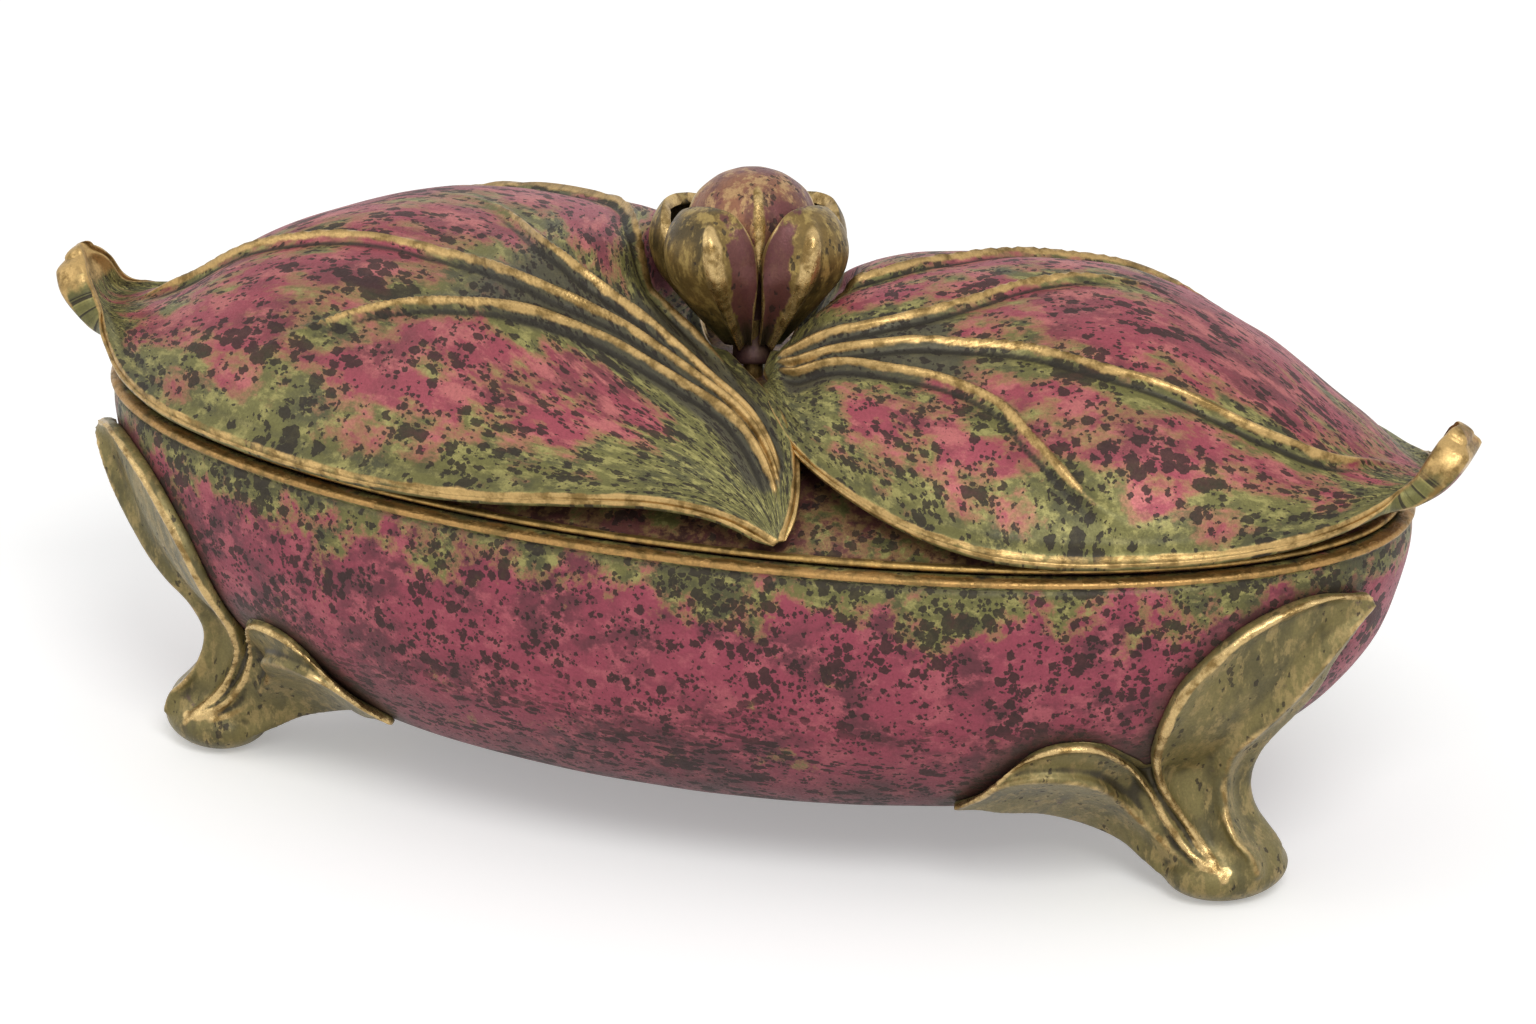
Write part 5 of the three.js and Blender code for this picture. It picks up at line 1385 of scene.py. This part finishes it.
def add_bar(shape, low, high, radius):
    """A round bar between two points."""
    low, high = spot(*low), spot(*high)
    way = high - low
    matrix = Matrix.Translation((low + high) / 2) @ way.to_track_quat("Z", "Y").to_matrix().to_4x4()
    bmesh.ops.create_cone(
        shape,
        cap_ends=True,
        segments=40,
        radius1=radius / 1000,
        radius2=radius / 1000,
        depth=way.length,
        matrix=matrix,
    )


def melt_together(shape, name):
    """A voxel remesh of overlapping closed pieces, as a new bmesh."""
    mesh = bpy.data.meshes.new(name)
    shape.to_mesh(mesh)
    shape.free()
    rough = bpy.data.objects.new(name, mesh)
    bpy.context.collection.objects.link(rough)
    remesh = rough.modifiers.new("melt", "REMESH")
    remesh.mode = "VOXEL"
    remesh.voxel_size = VOXEL / 1000
    melted = bmesh.new()
    melted.from_object(rough, bpy.context.evaluated_depsgraph_get())
    bpy.data.objects.remove(rough)
    bpy.data.meshes.remove(mesh)
    return melted


def foot_shape(which):
    """Blades, toe, ankle and screw lug of one foot, melted into one casting."""
    out, on, pad, screw = foot_frame(FOOT_TURNS[which])
    shape = bmesh.new()
    for side_rows, root_rows in ((UPPER_SIDE, UPPER_ROOT), (LOWER_SIDE, LOWER_ROOT)):
        piece = make_blade(blade_lines(which, side_rows, root_rows))
        blade_mesh = bpy.data.meshes.new("blade")
        piece.to_mesh(blade_mesh)
        piece.free()
        shape.from_mesh(blade_mesh)
        bpy.data.meshes.remove(blade_mesh)
    toe = pad + out * 0.8
    add_ball(shape, (toe.x, toe.y, 4.3), (10.6, 8.6, 4.9), math.atan2(on.y, on.x))
    ankle = pad - out * 3
    add_bar(shape, (ankle.x, ankle.y, 5), (ankle.x, ankle.y, 27), 4.8)
    web_low, web_high = pad + on * 6 - out * 4, pad + on * 13 - out * 5.5
    add_bar(shape, (web_low.x, web_low.y, 6), (web_high.x, web_high.y, 25), 4.4)
    add_bar(shape, (screw.x, screw.y, 8.3), (screw.x, screw.y, 11.7), 5.5)
    lug = [pad + (screw - pad) * share for share in (0, 0.35, 0.7)]
    for p in lug:
        add_bar(shape, (p.x, p.y, 8.3), (p.x, p.y, 11.7), 5.4)
    return melt_together(shape, "wax_" + which)


# %% [markdown]
# After the remesh every point that would sink into the bowl is moved out to its
# side, and the pad is cut flat where it stands. Then the mesh is read for its
# own relief: a point that stands out from its neighbours is a ridge, and one
# that lies back gets painted shade. Smoothing those marks makes them soft, as wear is.

# %% Fit the foot to the bowl and read its relief
SHAPE_PASSES = 5
MARK_PASSES = 5
SKIN = 0.15  # how far off the bowl a foot's back is kept
DEEPEST = 7  # a point sunk deeper than this belongs under the floor
HALO = 4.5  # how far the dark beside a foot reaches


def seat_on_bowl(shape):
    """Moves points out of the bowl and off the table."""
    for vert in shape.verts:
        x, y, z = vert.co.x * 1000, vert.co.y * 1000 - Y_SHIFT, max(vert.co.z * 1000, 0.0)
        if z > FLOOR - 0.2:
            length, width = bowl_at(z)
            length, width = length + SKIN, width + SKIN
            inside = math.hypot(x / length, y / width)
            if inside < 1:
                sunk = (1 - inside) * width
                if sunk > DEEPEST:
                    z = min(z, FLOOR - 0.2)
                else:
                    x, y = x / inside, y / inside
        vert.co = spot(x, y, z)


def read_relief(shape, ridge_size, painted_shade_size):
    """Marks ridges, and painted shade where a point lies back, from how far each point stands out from its
    neighbours.
    """
    shape.normal_update()
    shape.verts.ensure_lookup_table()
    rings = [[edge.other_vert(vert).index for edge in vert.link_edges] for vert in shape.verts]
    level = []
    for vert in shape.verts:
        middle = sum((shape.verts[i].co for i in rings[vert.index]), Vector()) / len(rings[vert.index])
        level.append((vert.co - middle).dot(vert.normal) * 1000)
    for _ in range(MARK_PASSES):
        level = [(level[i] + sum(level[j] for j in ring)) / (len(ring) + 1) for i, ring in enumerate(rings)]
    ridge = shape.verts.layers.float.get("ridge") or shape.verts.layers.float.new("ridge")
    painted_shade = shape.verts.layers.float.get("painted_shade") or shape.verts.layers.float.new("painted_shade")
    for vert in shape.verts:
        vert[ridge] = rise(level[vert.index], 0, ridge_size)
        # Painted shade where a point lies back.
        vert[painted_shade] = rise(-level[vert.index], 0, painted_shade_size)


def ridge_lines(which):
    """The blades' ridges as two lists of points in metres: the sharp ones and the soft ones."""
    sharp, soft = [], []
    for rows in ((UPPER_SIDE, UPPER_ROOT), (LOWER_SIDE, LOWER_ROOT)):
        front, rear, _ = blade_lines(which, *rows)
        for line, points in ((front, sharp), (rear, soft)):
            points.extend(spot(*along(line, i / 160)) for i in range(157))
    return sharp, soft


def nearest(points):
    """A tree that finds the nearest of many points."""
    tree = KDTree(len(points))
    for index, point in enumerate(points):
        tree.insert(point, index)
    tree.balance()
    return tree


def mark_ridges(shape, which):
    """Raises the ridge mark along the blades' own ridges."""
    sharp, soft = (nearest(points) for points in ridge_lines(which))
    ridge = shape.verts.layers.float.get("ridge")
    for vert in shape.verts:
        off_sharp = sharp.find(vert.co)[2] * 1000
        off_soft = soft.find(vert.co)[2] * 1000
        vert[ridge] = max(0.4 * vert[ridge], 0.9 * hump(off_sharp, 0.95), 0.6 * hump(off_soft, 0.9))


def finish_foot(which):
    """A foot smoothed, seated on the bowl and marked for its finish."""
    shape = foot_shape(which)
    for _ in range(SHAPE_PASSES):
        bmesh.ops.smooth_vert(
            shape, verts=shape.verts, factor=0.5, use_axis_x=True, use_axis_y=True, use_axis_z=True
        )
    seat_on_bowl(shape)
    read_relief(shape, 0.05, 0.03)
    mark_ridges(shape, which)
    return shape


# %% Make the four feet
to_middle = Matrix.Translation((0, -Y_SHIFT / 1000, 0))
for which, sy in (("front", 1), ("rear", -1)):
    right = finish_foot(which)
    for side, sx, shape in (("right", 1, right), ("left", -1, right.copy())):
        mirror = to_middle.inverted() @ Matrix.Diagonal((sx, sy, 1, 1)) @ to_middle
        bmesh.ops.transform(shape, matrix=mirror, verts=shape.verts)
        if sx * sy < 0:
            bmesh.ops.reverse_faces(shape, faces=shape.faces)
        corner = which + "_" + side
        show("foot_casting_" + corner, shape, foot_finish, "base", "olive_bronze", "foot_" + corner)

# %% Paint shade on the bowl beside the feet
halo_points = []
for which in FOOT_TURNS:
    for point in ridge_lines(which)[0]:
        y = point.y - Y_SHIFT / 1000
        y = -y if which == "rear" else y
        halo_points += [Vector((x, y + Y_SHIFT / 1000, point.z)) for x in (point.x, -point.x)]
halo = nearest(halo_points)
bowl_painted_shade = bowl.data.attributes["painted_shade"].data
for vert in bowl.data.vertices:
    if vert.co.z > FLOOR / 1000:
        # Painted shade on the bowl beside the foot's blades.
        dark = 0.9 * hump(halo.find(vert.co)[2] * 1000, HALO)
        bowl_painted_shade[vert.index].value = max(bowl_painted_shade[vert.index].value, dark)
print("Shaded the bowl beside", len(halo_points), "points of the feet")

# %% [markdown]
# ## The velvet
# The bowl is lined and the lid is padded. The lining is a thin shell against the
# wall. The two cushions are stuffed, and the believable way to stuff a cushion
# is a cloth simulation: blow it up with a little pressure, and stop it before it
# leaves its place.

# %% Loft the wall lining
LINING_SPOKES = 160
lip_angles = (0, 0.6, 1.2, 1.9, 2.6, 3.14)
lining_rings = [(0.45 + 0.8 * (1 - math.cos(a)), 56.0 + 0.6 * math.sin(a)) for a in lip_angles]
lining_rings += [(2.05, 56 - 38.6 * i / 20) for i in range(1, 21)]
lining_rings += [(0.45, 17.4 + 38.6 * i / 20) for i in range(20)]


def lining_place(ring, spoke):
    """A point of the lining, with the soft tucks of cloth on its face."""
    depth, z = lining_rings[ring]
    angle = 2 * math.pi * spoke / LINING_SPOKES
    length, width = inside_at(z)
    on_face = 6 <= ring < 26
    tuck = 0.18 * noise.noise(Vector((math.cos(angle) * 9, math.sin(angle) * 9, z / 16))) if on_face else 0
    return ((length - depth - tuck) * math.cos(angle), (width - depth - tuck) * math.sin(angle), z), {}


lining_shape = loft(len(lining_rings), LINING_SPOKES, lining_place, cap_low=False, cap_high=False)
lining_shape.verts.ensure_lookup_table()
open_edges = [edge for edge in lining_shape.edges if edge.is_boundary]
bmesh.ops.bridge_loops(lining_shape, edges=open_edges)
bmesh.ops.recalc_face_normals(lining_shape, faces=lining_shape.faces)
show("velvet_wall_lining", lining_shape, velvet_finish, "base", "velvet", "wall_lining")

# %% A cushion by cloth simulation
PAD_SPOKES = 96
VOXEL_OF_PAD = 0.004
PRESSURE = 4
LAST_FRAME = 20
DRAWN_UP = 3  # the pads are thinner than the voxels, so they are remeshed this much taller


def stuff(piece, cap):
    """Remeshes a pad, blows it up as cloth, and keeps each point within cap millimetres."""
    piece.data.transform(Matrix.Diagonal((1, 1, DRAWN_UP, 1)))
    remesh = piece.modifiers.new("remesh", "REMESH")
    remesh.mode = "VOXEL"
    remesh.voxel_size = VOXEL_OF_PAD
    bake_shape(piece)
    piece.data.transform(Matrix.Diagonal((1, 1, 1 / DRAWN_UP, 1)))
    before = [vert.co.copy() for vert in piece.data.vertices]
    cloth = piece.modifiers.new("cloth", "CLOTH")
    cloth.settings.use_pressure = True
    cloth.settings.uniform_pressure_force = PRESSURE
    cloth.settings.effector_weights.gravity = 0
    for moment in range(1, LAST_FRAME + 1):
        bpy.context.scene.frame_set(moment)
    bake_shape(piece)
    for vert, start in zip(piece.data.vertices, before):
        move = vert.co - start
        if move.length > cap / 1000:
            vert.co = start + move.normalized() * cap / 1000
    bpy.context.scene.frame_set(1)


def bake_shape(piece):
    """Applies the piece's modifiers to its mesh."""
    graph = bpy.context.evaluated_depsgraph_get()
    finished = bpy.data.meshes.new_from_object(piece.evaluated_get(graph))
    piece.modifiers.clear()
    piece.data = finished


PAD_ROWS = [(0.15, 0), (0.5, 0), (0.85, 0), (0.97, 0.15), (0.985, 0.5)]
PAD_ROWS += [(0.96, 0.85), (0.85, 1), (0.5, 1), (0.15, 1)]


def make_cushion(name, length, width, back, face, body, node):
    """A flat oval pad between the heights of its back and its face."""

    def place(ring, spoke):
        share, level = PAD_ROWS[ring]
        x = length * share * math.cos(2 * math.pi * spoke / PAD_SPOKES)
        y = width * share * math.sin(2 * math.pi * spoke / PAD_SPOKES)
        return (x, y, back(x, y) + level * (face(x, y) - back(x, y))), {}

    return show(name, loft(len(PAD_ROWS), PAD_SPOKES, place), velvet_finish, body, "velvet", node)


# %% Make the two cushions
pad_low, pad_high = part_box("floor_cushion")
pad_length = (pad_high.x - pad_low.x) * 500 - 2.5
pad_width = (pad_high.y - pad_low.y) * 500 - 2.5
floor_pad = make_cushion(
    "velvet_floor_cushion",
    pad_length,
    pad_width,
    lambda x, y: 17.8,
    lambda x, y: 20.2 + 1.8 * max(0.0, 1 - (x / pad_length) ** 2 - (y / pad_width) ** 2),
    "base",
    "floor_cushion",
)
lid_pad = make_cushion(
    "velvet_lid_cushion",
    102.2,
    45.4,
    lambda x, y: plate_top(x, y) - 7.0,
    lambda x, y: plate_top(x, y) - 8.9 - 5.4 * max(0.0, 1 - (x / 103) ** 2 - (y / 46) ** 2) ** 1.5,
    "lid",
    "lid_cushion",
)
for piece, cap in ((floor_pad, 1.6), (lid_pad, 0.7)):
    stuff(piece, cap)
    piece.data.polygons.foreach_set("use_smooth", [True] * len(piece.data.polygons))
    subdivide = piece.modifiers.new("smooth", "SUBSURF")
    subdivide.levels = subdivide.render_levels = 1
    bake_shape(piece)
    print(piece.name, "has", len(piece.data.polygons), "faces")

# %% [markdown]
# ## The small brass pieces
# Hinge, screws, stud and nut keep their solids, which already have the right
# shape, and only get the brass finish.

# %% Give the brass pieces their finish
brass_nodes = [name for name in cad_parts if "screw" in name or "hinge" in name or "finial" in name]
for name in brass_nodes:
    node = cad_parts[name]
    for slot_of_node in node.material_slots:
        slot_of_node.material = brass_finish
print(len(brass_nodes), "brass pieces")

# %% [markdown]
# ## The stage
# The photograph has a nearly white ground with one soft shadow. A pale floor
# gives the shadow, and a white world gives the background and the even light.
# Both are whiter to the camera than to the object, so the white doesn't flood
# the bowl's underside with light. Two large soft lamps add the direction: one
# high at the front right, one lower on the left.

# %% Floor, world and lamps
stage_shape = bmesh.new()
bmesh.ops.create_circle(stage_shape, cap_ends=True, segments=96, radius=6)
stage_mesh = bpy.data.meshes.new("floor")
stage_shape.to_mesh(stage_mesh)
stage_shape.free()
floor = bpy.data.objects.new("floor", stage_mesh)
bpy.context.collection.objects.link(floor)
floor_paint = bpy.data.materials.new("pale_floor")
floor_paint.use_nodes = True
stage_mesh.materials.append(floor_paint)
paint = floor_paint.node_tree
floor_shader = paint.nodes["Principled BSDF"]
floor_shader.inputs["Roughness"].default_value = 0.9
floor_shader.inputs["Specular IOR Level"].default_value = 0.1
floor_shader.inputs["Emission Color"].default_value = (1, 1, 1, 1)
shown_white = seen_directly(paint)
paint.links.new(calc(paint, "MULTIPLY", shown_white, 0.3), floor_shader.inputs["Emission Strength"])
floor_tone = tint(paint, shown_white, (0.5, 0.49, 0.48, 1), (0.9, 0.9, 0.89, 1))
paint.links.new(floor_tone, floor_shader.inputs["Base Color"])

world = bpy.data.worlds.new("studio")
world.use_nodes = True
bpy.context.scene.world = world
sky = world.node_tree
strength = fade(sky, seen_directly(sky), 0.0, 1.0, 0.62, 1.0)
sky.links.new(strength, sky.nodes["Background"].inputs["Strength"])
sky.nodes["Background"].inputs["Color"].default_value = (1, 1, 1, 1)


def soft_lamp(name, place, aim, size, power):
    """A round area lamp at a place in metres, aimed at a point."""
    data = bpy.data.lights.new(name, "AREA")
    data.shape = "DISK"
    data.size = size
    data.energy = power
    lamp = bpy.data.objects.new(name, data)
    lamp.location = Vector(place)
    lamp.rotation_euler = (Vector(place) - Vector(aim)).to_track_quat("Z", "Y").to_euler()
    bpy.context.collection.objects.link(lamp)


soft_lamp("key", (0.65, -1.1, 1.35), (0, 0, 0.05), 0.8, 13)
soft_lamp("fill", (-1.3, -0.6, 0.9), (0, 0, 0.05), 0.9, 2.5)
bpy.context.scene.view_settings.view_transform = "Standard"
print("Stage ready")

# %% [markdown]
# ## The end
# The last cell brings the scene up to date and closes the lesson.

# %% Update the scene
bpy.context.view_layer.update()
